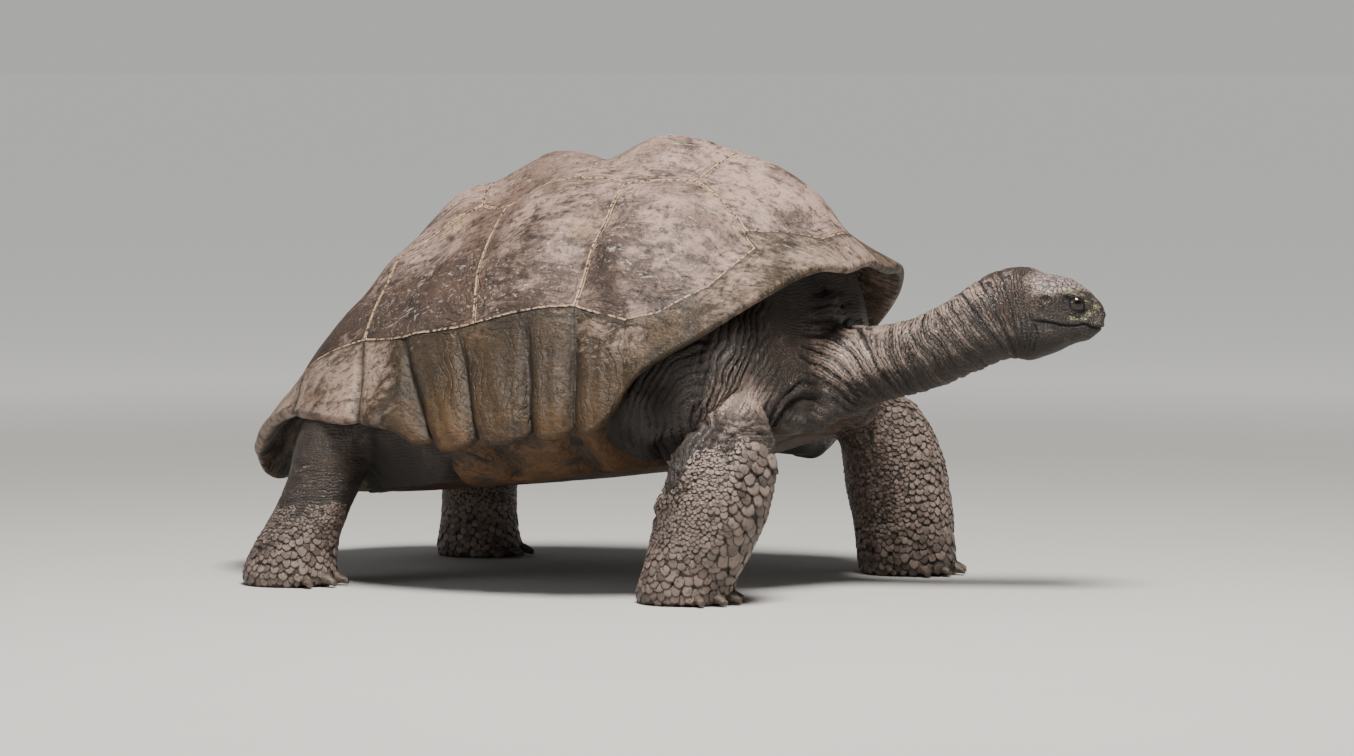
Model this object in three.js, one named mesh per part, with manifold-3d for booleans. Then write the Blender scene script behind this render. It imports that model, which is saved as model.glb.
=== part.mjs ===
// Giant tortoise, walking, life size. Millimetres, +X towards the head, +Y to the animal's left, +Z up.
// The horny plates are cut from one domed shell wall along planes through a hub low inside the dome;
// the limbs, neck, head and tail are lofts of rounded rings that fit into the trunk.
import * as THREE from 'three';
import Module from 'manifold-3d';

const wasm = await Module();
wasm.setup();

// ---------------------------------------------------------------- driving dimensions
const shell = {
  hubX: 110, // centre of the plan outline, ahead of mid length
  front: 512, rear: 688, half: 420, // reach of the plan outline from the hub
  frontPower: 2.65, rearPower: 2.0, // bluntness of the outline
  top: 462, // dome height above the bridge rim, before the humps
  wall: 16,
};
const pitchUp = 7.5; // degrees, nose up in mid stride
const rollLeft = 2.5; // degrees, left side down
const shellLift = 257; // bridge rim above the ground at the shell's own zero
const shellBack = -20;
const seam = 0.3; // clear gap between neighbours
const sectors = 36; // facets round the shell

// [degrees from the nose, value] round the outline, the same on both sides
const rimHeight = [[0, 230], [10, 219], [18, 224], [24, 216], [33, 186], [48, 121], [60, 68], [66, 10],
  [71, -13], [108, -13], [114, -2], [121, 32], [132, 52], [144, 74], [151, 78], [157, 64], [164, 34],
  [171, 26], [176, -6], [180, -14]];
const domePower = [[0, 2.3], [25, 2], [50, 1.9], [90, 1.9], [135, 1.5], [180, 1.46]];
const lipFlare = [[0, 0.1], [25, 0.16], [45, 0.11], [60, 0.06], [90, 0.02], [120, 0.03], [150, 0.06], [180, 0.05]];
// growth bosses: [x, y, height, reach along, reach across]
const bosses = [[271, 0, 37, 126, 130], [40, 0, 37, 108, 115], [-119, 0, 49, 150, 158], [-375, 0, 24, 95, 110],
  [500, 0, 8, 90, 110], [397, 0, 18, 110, 120], [375, 265, 10, 95, 95], [160, 300, 12, 110, 110],
  [-60, 300, 10, 110, 110], [-206, 124, 15, 87, 100], [-290, 240, 3, 95, 95]];

// corners where seams meet: [degrees from the nose, share of the way from the crown to the rim]
const corners = {
  n: [9, 0.886], a1: [27, 0.78], a2: [28, 0.47], a3: [50, 0.37], a4: [73, 0.235], a5: [119, 0.33],
  a6: [146, 0.32], a7: [152, 0.5], a8: [166.5, 0.58], a9: [168, 0.8], a10: [173.5, 0.84],
  b1: [27.6, 0.86], b2: [41, 0.889], b3: [53, 0.877], b4: [60, 0.84], b5: [72, 0.7], b6: [86, 0.7],
  b7: [107, 0.703], b8: [124, 0.73], b9: [138, 0.735], b10: [156, 0.8], t2: [102, 0.69],
  c0: [11.6, 1], c1: [28, 1], c2: [39, 1], c3: [50, 1], c4: [62, 1], c5: [74, 1], c6: [84.4, 1],
  c7: [99, 1], c8: [111, 1], c9: [130, 1], c10: [147, 1], c11: [168, 1],
};
// seams round each plate as pairs of corners; * is the corner on the other side
const middlePlates = {
  nuchal: 'c0 n, n n*', vertebral_1: 'n n*, n a1, a1 a2, a2 a2*', vertebral_2: 'a2 a2*, a2 a3, a3 a4, a4 a4*',
  vertebral_3: 'a4 a4*, a4 a5, a5 a6, a6 a6*', vertebral_4: 'a6 a6*, a6 a7, a7 a8, a8 a8*',
  vertebral_5: 'a8 a8*, a8 a9, b10 a10, a10 a10*', supracaudal: 'a10 a10*, a10 c11',
};
const sidePlates = {
  pleural_1: 'a1 a2, a2 a3, a3 b5, b5 b4, b4 b3, b3 b2, b2 b1, a1 c1',
  pleural_2: 'a3 a4, a4 a5, a5 t2, b7 b6, b6 b5, b5 a3',
  pleural_3: 'a5 a6, a6 a7, a7 b9, b9 b8, b8 b7, b7 b6, t2 a5',
  pleural_4: 'a7 a8, a8 a9, b10 a10, b10 b9, b9 a7',
  marginal_1: 'c0 n, n a1, a1 c1', marginal_2: 'a1 c1, b1 b2, b2 c2', marginal_3: 'c2 b2, b2 b3, b3 c3',
  marginal_4: 'c3 b3, b3 b4, b4 c4', marginal_5: 'c4 b4, b4 b5, b5 c5', marginal_6: 'c5 b5, b5 b6, b6 c6',
  marginal_7: 'c6 b6, b6 b7, b7 c7', marginal_8: 'c7 b7, b7 b8, b8 c8', marginal_9: 'c8 b8, b8 b9, b9 c9',
  marginal_10: 'c9 b9, b9 b10, b10 c10', marginal_11: 'c10 b10, b10 a10, a10 c11',
};

// belly plate: [x, half width, bottom, rise of the side edge]
const bellyStations = [[-405, 70, -66, 4], [-385, 120, -70, 6], [-320, 175, -76, 8], [-200, 215, -84, 10],
  [-95, 240, -88, 14], [-62, 300, -89, 26], [-40, 403, -89, 58], [20, 410, -89, 60], [110, 412, -89, 60],
  [200, 409, -89, 60], [255, 400, -89, 58], [282, 335, -88, 34], [315, 245, -83, 14], [400, 225, -68, 10],
  [480, 190, -52, 8], [530, 130, -40, 6], [548, 80, -37, 4]];
const bellyAcross = [-1, -0.9, -0.66, 0, 0.66, 0.9, 1];
const bellyWall = 13;
const bellySeams = { gular: [455, 700], humeral: [300, 455], pectoral: [205, 300], abdominal: [-70, 205],
  femoral: [-285, -70], anal: [-600, -285] };

// limbs as level rings: [height, x, y, half length, half width]
const limbs = {
  foreleg_right: [[0, 366, -330, 76, 70], [9, 367, -330, 84, 77], [46, 380, -330, 84, 76],
    [98, 404, -330, 92, 80], [140, 418, -326, 97, 84], [180, 427, -320, 97, 86], [226, 438, -308, 88, 84],
    [258, 448, -297, 72, 74], [285, 455, -290, 54, 62], [310, 458, -284, 42, 50], [332, 458, -280, 28, 36],
    [345, 457, -278, 14, 18]],
  foreleg_left: [[0, 512, 300, 78, 72], [9, 513, 300, 88, 80], [50, 511, 300, 90, 80], [100, 508, 298, 93, 82],
    [147, 500, 292, 95, 85], [202, 494, 282, 95, 88], [254, 480, 270, 90, 86], [300, 466, 255, 76, 78],
    [335, 450, 240, 52, 58], [352, 445, 236, 24, 28]],
  hindleg_right: [[0, -384, -336, 78, 72], [9, -384, -336, 84, 78], [36, -380, -334, 82, 76],
    [80, -369, -328, 74, 70], [126, -350, -312, 68, 67], [184, -331, -292, 68, 70], [235, -318, -276, 76, 78],
    [280, -302, -258, 84, 86], [325, -286, -238, 78, 80], [358, -276, -224, 48, 52], [368, -274, -222, 20, 22]],
  hindleg_left: [[0, -330, 282, 74, 70], [9, -330, 282, 80, 76], [40, -327, 278, 76, 72], [85, -322, 270, 71, 69],
    [130, -317, 262, 71, 70], [190, -304, 252, 78, 76], [250, -290, 240, 86, 84], [300, -278, 226, 86, 82],
    [338, -268, 214, 60, 60], [352, -266, 212, 26, 26]],
};
// claws: [angle about the foot from straight ahead, size]
const claws = {
  fore: [[-58, 0.85], [-30, 1], [-4, 1.05], [22, 1], [48, 0.85]], hind: [[-45, 0.85], [-15, 1], [15, 1], [45, 0.85]],
};
const clawLength = 30;

// neck centre line and rings: [x, y, z, half height, half width]
const neckRings = [[400, -5, 345, 96, 112], [460, -4, 362, 92, 106], [515, -2, 376, 80, 90], [560, 0, 386, 69, 72],
  [610, 1, 393, 64, 63], [665, 5, 407, 65, 61], [722, 11, 432, 66, 59], [773, 22, 461, 70, 57],
  [800, 29, 474, 76, 55], [822, 35, 480, 80, 52], [855, 42, 481, 80, 50]];

// head: origin, turn to the left, rings [forward, top, bottom, half width, squareness]
const headAt = [868, 45, 485];
const headTurn = 12;
const headRings = [[-75, 70, -80, 46, 2.05], [-50, 76, -87, 50, 2.1], [-22, 71, -87, 54, 2.4], [3, 62, -80, 55, 2.5],
  [29, 57, -70, 50, 2.6], [47, 54, -61, 44, 2.6], [62, 46, -55, 38, 2.6], [78, 35, -51, 31, 2.4],
  [91, 22, -42, 25, 2.2], [100, 13, -33, 19, 2.1], [105, 6, -25, 13, 2], [108, -1, -15, 6, 2]];
// mouth line [forward, up] and how far the lower jaw sits inside the beak
const mouth = [[-6, -17], [23, -20], [42, -25], [60, -26], [74, -23], [86, -27], [120, -33]];
const jawInset = 2.2;
const eardrum = { forward: 13, side: 77, up: 19, radius: 27 };
const brow = { forward: 58, side: 25, up: 26, size: [26, 14, 10] };
const neckCut = -52; // plane where the head meets the neck
const eye = { forward: 61, side: 26.5, up: 11.5, radius: 14.5 };
const orbit = { side: 48, radius: 16.5 }; // opening round each eye

const tailRings = [[-440, 0, 235, 46, 46], [-478, 0, 200, 38, 40], [-502, 4, 165, 27, 29], [-508, 8, 135, 16, 17],
  [-506, 10, 118, 8, 8]];

// trunk: [degrees from the nose, share of the shell it reaches, then its wall from there down to the floor]
const trunkReach = [[0, 0.8, 0.82, 0.86, 0.85, 0.7], [30, 0.86, 0.87, 0.89, 0.86, 0.72],
  [48, 0.94, 0.95, 0.93, 0.88, 0.7], [62, 0.95, 0.97, 0.92, 0.82, 0.62], [74, 0.93, 0.94, 0.88, 0.73, 0.58],
  [105, 0.93, 0.94, 0.88, 0.73, 0.58], [118, 0.93, 0.95, 0.9, 0.78, 0.6], [140, 0.9, 0.9, 0.86, 0.78, 0.62],
  [160, 0.84, 0.84, 0.78, 0.7, 0.6], [180, 0.8, 0.78, 0.72, 0.66, 0.56]];
const trunkFalls = [0.3, 0.62, 0.86, 1];

const colours = {
  carapace: 0x8a7669, rim: 0x8f7a66, belly: 0xa08357, skin: 0x5f564f, eye: 0x17120f,
};

// ---------------------------------------------------------------- small tools
const { PI, abs, sin, cos, sign, min, max } = Math;
const rad = THREE.MathUtils.degToRad;
const mix = THREE.MathUtils.lerp;
const vec = (x, y, z) => new THREE.Vector3(x, y, z);

function along(table, degrees, column = 1) {
  const a = min(abs(degrees), 180);
  let i = 0;
  while (i < table.length - 2 && table[i + 1][0] <= a) i += 1;
  const t = THREE.MathUtils.smoothstep(a, table[i][0], table[i + 1][0]);
  return mix(table[i][column], table[i + 1][column], t);
}

// closed solid from rings of equal count, each end closed by a fan to its own middle
function ringSolid(rings, startPole, endPole) {
  const n = rings[0].length;
  const middle = (ring) => ring.reduce((a, p) => a.add(p), vec(0, 0, 0)).divideScalar(n);
  const points = [startPole ?? middle(rings[0]), ...rings.flat(), endPole ?? middle(rings.at(-1))];
  const faces = [];
  for (let k = 0; k < n; k += 1) {
    const next = (k + 1) % n;
    faces.push(0, 1 + next, 1 + k);
    for (let r = 0; r < rings.length - 1; r += 1) {
      const a = 1 + r * n;
      const b = a + n;
      faces.push(a + k, a + next, b + next, a + k, b + next, b + k);
    }
    const last = 1 + (rings.length - 1) * n;
    faces.push(points.length - 1, last + k, last + next);
  }
  const solid = (triangles) => new wasm.Manifold(new wasm.Mesh({
    numProp: 3,
    vertProperties: Float32Array.from(points.flatMap((p) => [p.x, p.y, p.z])),
    triVerts: Uint32Array.from(triangles),
  }));
  const made = solid(faces);
  if (made.volume() > 0) return made;
  return solid(faces.map((f, i) => (i % 3 === 1 ? faces[i + 1] : i % 3 === 2 ? faces[i - 1] : f)));
}

function fromGeometry(geometry) {
  const p = geometry.getAttribute('position');
  const keys = new Map();
  const vertices = [];
  const remap = [];
  for (let i = 0; i < p.count; i += 1) {
    const v = [p.getX(i), p.getY(i), p.getZ(i)];
    const key = v.map((c) => Math.round(c * 1e4)).join();
    if (!keys.has(key)) { keys.set(key, keys.size); vertices.push(...v); }
    remap.push(keys.get(key));
  }
  const index = Array.from(geometry.index.array, (i) => remap[i]);
  const faces = [];
  for (let i = 0; i < index.length; i += 3) {
    const [a, b, c] = index.slice(i, i + 3);
    if (a !== b && b !== c && a !== c) faces.push(a, b, c);
  }
  return new wasm.Manifold(new wasm.Mesh({
    numProp: 3, vertProperties: Float32Array.from(vertices), triVerts: Uint32Array.from(faces),
  }));
}

// ---------------------------------------------------------------- shell surface, in the shell's own frame
function outline(degrees) {
  const a = rad(degrees);
  const ahead = cos(a) > 0;
  const n = ahead ? shell.frontPower : shell.rearPower;
  const reach = ahead ? shell.front : shell.rear;
  return ((abs(cos(a)) / reach) ** n + (abs(sin(a)) / shell.half) ** n) ** (-1 / n);
}

function smoothDome(degrees, s) {
  const rim = along(rimHeight, degrees);
  const power = along(domePower, degrees);
  const flare = along(lipFlare, degrees);
  const lift = min(max((s - 0.8) / 0.2, 0), 1) ** 1.6;
  const r = outline(degrees) * ((1 - flare) * sin(s * PI / 2) ** (2 / power) + flare * lift);
  const z = rim + (shell.top - rim) * max(cos(s * PI / 2), 0) ** (2 / power);
  return vec(shell.hubX + r * cos(rad(degrees)), r * sin(rad(degrees)), z);
}

function dome(degrees, s, depth = 0) {
  const at = min(max(s, 0.01), 0.995);
  const round = smoothDome(degrees + 0.5, at).sub(smoothDome(degrees - 0.5, at));
  const down = smoothDome(degrees, at + 0.004).sub(smoothDome(degrees, at - 0.004));
  const normal = down.cross(round).normalize();
  const p = smoothDome(degrees, s);
  let boss = 0;
  for (const [x, y, height, reachX, reachY] of bosses) {
    for (const side of y ? [1, -1] : [1]) {
      const d = ((p.x - x) / reachX) ** 2 + ((p.y - side * y) / reachY) ** 2;
      boss += height * max(1 - d, 0) ** 2;
    }
  }
  return p.addScaledVector(normal, boss - depth);
}

const turn = (i) => (i * 360) / sectors - 180 + 180 / sectors;
const shellRing = (s, depth) => Array.from({ length: sectors }, (_, i) => dome(turn(i), s, depth));
const crown = (depth) => vec(shell.hubX, 0, shellRing(0.01, depth).reduce((a, p) => a + p.z, 0) / sectors);
const outerSteps = [0.16, 0.32, 0.47, 0.6, 0.71, 0.81, 0.9, 1];
const innerSteps = [1, 0.88, 0.68, 0.36];

function shellWall(grow) {
  const inner = shell.wall + grow;
  const rings = [...outerSteps.map((s) => shellRing(s, -grow)), ...innerSteps.map((s) => shellRing(s, inner))];
  for (const ring of [rings[outerSteps.length - 1], rings[outerSteps.length]]) {
    for (const p of ring) p.z -= grow * 1.5;
  }
  return ringSolid(rings, crown(-grow), crown(inner));
}

// ---------------------------------------------------------------- plates
const hub = vec(shell.hubX, 0, -60);

function corner(name, side) {
  const other = name.endsWith('*');
  const [degrees, s] = corners[other ? name.slice(0, -1) : name];
  return dome(degrees * side * (other ? -1 : 1), s);
}

function cutPlate(wall, seams, side, both) {
  const edges = seams.split(', ').map((pair) => pair.split(' '));
  const sides = both ? [side, -side] : [side];
  const used = sides.flatMap((k) => edges.map(([a, b]) => [corner(a, k), corner(b, k)]));
  const inside = used.flat().reduce((a, p) => a.add(p), vec(0, 0, 0)).divideScalar(used.length * 2);
  let plate = wall;
  for (const [a, b] of used) {
    const normal = a.clone().sub(hub).cross(b.clone().sub(hub)).normalize();
    if (normal.dot(inside.clone().sub(hub)) < 0) normal.negate();
    plate = plate.trimByPlane(normal.toArray(), normal.dot(hub) + seam / 2);
  }
  return plate;
}

// ---------------------------------------------------------------- belly plate
function belly(grow) {
  const rings = bellyStations.map(([x, half, bottom, rise], k) => {
    const end = k === 0 ? -grow : k === bellyStations.length - 1 ? grow : 0;
    const edge = (t) => bottom + rise * max((abs(t) - 0.66) / 0.34, 0) ** 1.4;
    const low = [];
    const high = [];
    for (const t of bellyAcross) {
      low.push(vec(x + end, t * (half + grow), edge(t) - grow));
      high.unshift(vec(x + end, t * (half + grow), edge(t) + bellyWall + grow));
    }
    return [...low, ...high];
  });
  return ringSolid(rings);
}

// ---------------------------------------------------------------- flesh
function loft(rings, sides, grow = 0) {
  const path = new THREE.CatmullRomCurve3(rings.map(([x, y, z]) => vec(x, y, z)), false, 'centripetal');
  const count = rings.length - 1;
  const made = rings.map(([x, y, z, high, wide], k) => {
    const ahead = path.getTangent(k / count);
    const middle = vec(x, y, z).addScaledVector(ahead, k === 0 ? -grow : k === count ? grow : 0);
    const across = vec(0, 0, 1).cross(ahead).normalize();
    const up = ahead.clone().cross(across);
    return Array.from({ length: sides }, (_, i) => {
      const a = (i / sides) * 2 * PI;
      return middle.clone().addScaledVector(across, (wide + grow) * cos(a)).addScaledVector(up, (high + grow) * sin(a));
    });
  });
  return ringSolid(made);
}

function limb(levels, sides, grow = 0) {
  return ringSolid(levels.map(([z, x, y, long, wide], k) => {
    const lift = k === 0 ? -grow : k === levels.length - 1 ? grow : 0;
    return Array.from({ length: sides }, (_, i) => {
      const a = (i / sides) * 2 * PI;
      return vec(x + (long + grow) * cos(a), y + (wide + grow) * sin(a), z + lift);
    });
  }));
}

function claw(foot, [angle, size]) {
  const [, x, y, long, wide] = foot;
  const a = rad(angle);
  const root = vec(x + long * 0.86 * cos(a), y + wide * 0.86 * sin(a), 20);
  const out = vec(cos(a), sin(a), 0);
  const steps = [[0, 9, 20], [16, 8.5, 17], [clawLength, 3, 6]];
  const rings = steps.map(([reach, r, z]) => Array.from({ length: 6 }, (_, i) => {
    const t = (i / 6) * 2 * PI;
    const across = vec(-out.y, out.x, 0);
    return root.clone().setZ(0).addScaledVector(out, reach * size).addScaledVector(across, r * size * cos(t))
      .add(vec(0, 0, max(z * size + r * size * sin(t), 1)));
  }));
  return ringSolid(rings);
}

function headSolid(inset = () => 0) {
  const sides = 18;
  return ringSolid(headRings.map(([x, top, bottom, half, power], k) => {
    const less = inset(x);
    const back = k === headRings.length - 1 ? less : 0;
    return Array.from({ length: sides }, (_, i) => {
      const a = (i / sides) * 2 * PI;
      const round = (v) => sign(v) * abs(v) ** (2 / power);
      const z = (top + bottom) / 2 + max((top - bottom) / 2 - less, 1) * round(sin(a));
      return vec(x - back, max(half - less, 1) * round(cos(a)), z);
    });
  }));
}

// everything under the mouth line, from its corner forward
function underMouth() {
  return ringSolid(mouth.map(([x, z]) => [vec(x, -80, z), vec(x, 80, z), vec(x, 80, -120), vec(x, -80, -120)]));
}

function ellipsoid(at, size, across = 11, down = 7) {
  const ball = new THREE.SphereGeometry(1, across, down);
  ball.scale(...size);
  ball.translate(...at);
  return fromGeometry(ball);
}

function floorAt(x) {
  const i = max(bellyStations.findIndex((row) => row[0] > x), 1);
  const [a, b] = [bellyStations[i - 1], bellyStations[i]];
  return mix(a[2], b[2], min(max((x - a[0]) / (b[0] - a[0]), 0), 1)) + bellyWall + 0.6;
}

function trunkSolid() {
  const angles = Array.from({ length: 32 }, (_, i) => (i * 360) / 32 - 174.375);
  const inner = shell.wall;
  const rows = [[0.35, inner + 8], [0.65, inner + 8], [0.88, inner + 6], [1, inner / 2]];
  const rings = rows.map(([f, depth]) => angles.map((a) => dome(a, f * along(trunkReach, a), depth)));
  trunkFalls.forEach((fall, k) => rings.push(angles.map((a) => {
    const top = rings[rows.length - 1][angles.indexOf(a)].z;
    const r = outline(a) * along(trunkReach, a, 2 + k);
    const x = shell.hubX + r * cos(rad(a));
    return vec(x, r * sin(rad(a)), mix(top, floorAt(x), fall));
  })));
  return ringSolid(rings, crown(inner + 8), vec(shell.hubX, 0, floorAt(shell.hubX)));
}

// ---------------------------------------------------------------- assembly
const tortoise = new THREE.Group();
const lift = new THREE.Matrix4().makeRotationY(rad(-pitchUp))
  .multiply(new THREE.Matrix4().makeRotationX(rad(-rollLeft))).setPosition(shellBack, 0, shellLift);
const place = (solid) => solid.transform(lift.elements);
const headPlace = new THREE.Matrix4().makeRotationZ(rad(headTurn)).setPosition(...headAt);

function addNode(name, solid, colour, roughness) {
  const largest = solid.simplify(0.1).decompose().sort((a, b) => b.volume() - a.volume())[0];
  const mesh = largest.getMesh();
  const geometry = new THREE.BufferGeometry();
  geometry.setAttribute('position', new THREE.BufferAttribute(mesh.vertProperties, mesh.numProp));
  geometry.setIndex(new THREE.BufferAttribute(mesh.triVerts, 1));
  const node = new THREE.Mesh(geometry, new THREE.MeshStandardMaterial({ color: colour, roughness, metalness: 0 }));
  node.name = name;
  tortoise.add(node);
}

// shell plates
const plateWall = shellWall(0);
for (const [name, seams] of Object.entries(middlePlates)) {
  const edge = name === 'nuchal' || name === 'supracaudal';
  addNode(name, place(cutPlate(plateWall, seams, -1, true)), edge ? colours.rim : colours.carapace, 0.75);
}
for (const [name, seams] of Object.entries(sidePlates)) {
  const [kind, number] = name.split('_');
  for (const [word, side] of [['right', -1], ['left', 1]]) {
    const colour = kind === 'marginal' ? colours.rim : colours.carapace;
    addNode(`${kind}_${word}_${number}`, place(cutPlate(plateWall, seams, side, false)), colour, 0.75);
  }
}

// belly plates
const bellyWhole = belly(0);
for (const [name, [from, to]] of Object.entries(bellySeams)) {
  for (const [word, side] of [['right', -1], ['left', 1]]) {
    const half = bellyWhole.trimByPlane([0, side, 0], seam / 2)
      .trimByPlane([1, 0, 0], from + seam / 2).trimByPlane([-1, 0, 0], -to + seam / 2);
    addNode(`${name}_${word}`, place(half), colours.belly, 0.7);
  }
}

// flesh, from the head back; each part is cut clear of those before it
const shellKeep = place(shellWall(seam));
const bellyKeep = place(belly(seam));
const cutNormal = vec(1, 0, 0).transformDirection(headPlace);
const cutAt = cutNormal.dot(vec(neckCut, 0, 0).applyMatrix4(headPlace));
const innerJaw = headSolid((x) => jawInset * THREE.MathUtils.smoothstep(x, mouth[0][0], 60));
const outerJaw = headSolid(() => -3);
let head = headSolid();
for (const side of [-1, 1]) head = head.add(ellipsoid([brow.forward, side * brow.side, brow.up], brow.size));
head = head.subtract(underMouth().intersect(outerJaw.subtract(innerJaw)));
for (const side of [-1, 1]) {
  const ball = (grow) => ellipsoid([eye.forward, side * eye.side, eye.up], Array(3).fill(eye.radius + grow));
  head = head.subtract(ball(seam * 1.4))
    .subtract(ellipsoid([eye.forward, side * orbit.side, eye.up], Array(3).fill(orbit.radius)))
    .subtract(ellipsoid([eardrum.forward, side * eardrum.side, eardrum.up], Array(3).fill(eardrum.radius), 16, 10));
  addNode(side < 0 ? 'eye_right' : 'eye_left', ball(0).transform(headPlace.elements), colours.eye, 0.15);
}
head = head.transform(headPlace.elements).trimByPlane(cutNormal.toArray(), cutAt + seam / 2);
addNode('head', head, colours.skin, 0.7);

const neckEnd = [-cutNormal.x, -cutNormal.y, -cutNormal.z];
const neck = loft(neckRings, 16).trimByPlane(neckEnd, -cutAt + seam / 2);
const neckKeep = loft(neckRings, 16, seam * 1.4).trimByPlane(neckEnd, -cutAt);
addNode('neck', neck.subtract(shellKeep).subtract(bellyKeep), colours.skin, 0.65);

const keeps = [neckKeep];
for (const [name, levels] of Object.entries(limbs)) {
  let leg = limb(levels, 14);
  const kind = name.startsWith('fore') ? 'fore' : 'hind';
  for (const toe of claws[kind]) leg = leg.add(claw(levels[1], toe));
  leg = leg.subtract(shellKeep).subtract(bellyKeep).subtract(neckKeep);
  addNode(name, leg, colours.skin, 0.75);
  keeps.push(limb(levels, 14, seam * 1.4));
}
const tail = loft(tailRings, 10).subtract(shellKeep);
addNode('tail', tail, colours.skin, 0.75);
keeps.push(loft(tailRings, 10, seam * 1.4));

let trunk = place(trunkSolid()).subtract(shellKeep).subtract(bellyKeep);
for (const keep of keeps) trunk = trunk.subtract(keep);
addNode('trunk', trunk, colours.skin, 0.8);

// stand the animal over the middle of its own footprint box
const box = new THREE.Box3().setFromObject(tortoise, true);
tortoise.position.set(-(box.min.x + box.max.x) / 2, -(box.min.y + box.max.y) / 2, -box.min.z);
tortoise.updateMatrixWorld(true);

export default tortoise;
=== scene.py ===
"""Giant tortoise in mid stride, life size: horny plates, one skin, scales, nails, eyes and a plain stage."""
import math

import bmesh
import bpy
import numpy as np
from mathutils import Matrix, Vector


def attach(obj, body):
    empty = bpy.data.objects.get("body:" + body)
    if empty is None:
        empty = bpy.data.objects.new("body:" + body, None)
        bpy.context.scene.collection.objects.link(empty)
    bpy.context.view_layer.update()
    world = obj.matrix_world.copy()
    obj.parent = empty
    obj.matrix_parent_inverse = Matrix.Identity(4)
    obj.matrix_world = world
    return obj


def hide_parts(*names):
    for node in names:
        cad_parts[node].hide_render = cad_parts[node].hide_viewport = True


bl_info = {
    "name": "Giant tortoise",
    "version": (1, 0, 0),
    "blender": (4, 5, 0),
    "location": "3D View > Sidebar > Tortoise",
    "description": "Builds the plates, skin, scales, nails and eyes of a walking giant tortoise",
    "category": "Object",
}

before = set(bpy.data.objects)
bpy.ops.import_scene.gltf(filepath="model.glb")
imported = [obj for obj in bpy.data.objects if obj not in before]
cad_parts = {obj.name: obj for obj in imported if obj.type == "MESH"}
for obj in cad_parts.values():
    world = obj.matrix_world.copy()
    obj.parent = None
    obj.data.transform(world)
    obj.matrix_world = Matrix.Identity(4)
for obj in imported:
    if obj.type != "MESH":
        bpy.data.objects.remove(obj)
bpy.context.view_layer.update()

# ------------------------------------------------------------------ shape tables, millimetres and degrees
SHELL = {"hub_x": 110, "front": 512, "rear": 688, "half": 420, "front_power": 2.65, "rear_power": 2.0,
         "top": 462, "wall": 16}
PITCH_UP, ROLL_LEFT = 7.5, 2.5
SHELL_AT = (-20, 0, 257)
MIDDLE = (-195.188, 0.567, 0)  # from the stride's own zero to the middle of the footprint
# by the angle from the nose: the rim's height, the fullness of the dome's section and the flare of its edge
RIM_HEIGHT = [[0, 230], [10, 219], [18, 224], [24, 216], [33, 186], [48, 121], [60, 68], [66, 10], [71, -13],
              [108, -13], [114, -2], [121, 32], [132, 52], [144, 74], [151, 78], [157, 64], [164, 34],
              [171, 26], [176, -6], [180, -14]]
DOME_POWER = [[0, 2.3], [25, 2], [50, 1.9], [90, 1.9], [135, 1.5], [180, 1.46]]
LIP_FLARE = [[0, 0.1], [25, 0.16], [45, 0.11], [60, 0.06], [90, 0.02], [120, 0.03], [150, 0.06], [180, 0.05]]
# the raised middles of the plates: x, y, height, reach along and reach across
BOSSES = [(271, 0, 37, 126, 130), (40, 0, 37, 108, 115), (-119, 0, 49, 150, 158), (-375, 0, 24, 95, 110),
          (500, 0, 8, 90, 110), (397, 0, 18, 110, 120), (375, 265, 10, 95, 95), (160, 300, 12, 110, 110),
          (-60, 300, 10, 110, 110), (-206, 124, 15, 87, 100), (-290, 240, 3, 95, 95)]
# where the seams meet: the angle from the nose and the share of the way from the top (0) to the rim (1)
CORNERS = {
    "n": (9, .886), "a1": (27, .78), "a2": (28, .47), "a3": (50, .37), "a4": (73, .235), "a5": (119, .33),
    "a6": (146, .32), "a7": (152, .5), "a8": (166.5, .58), "a9": (168, .8), "a10": (173.5, .84),
    "b1": (27.6, .86), "b2": (41, .889), "b3": (53, .877), "b4": (60, .84), "b5": (72, .7), "b6": (86, .7),
    "b7": (107, .703), "b8": (124, .73), "b9": (138, .735), "b10": (156, .8), "t2": (102, .69),
    "c0": (11.6, 1), "c1": (28, 1), "c2": (39, 1), "c3": (50, 1), "c4": (62, 1), "c5": (74, 1),
    "c6": (84.4, 1), "c7": (99, 1), "c8": (111, 1), "c9": (130, 1), "c10": (147, 1), "c11": (168, 1),
}
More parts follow.
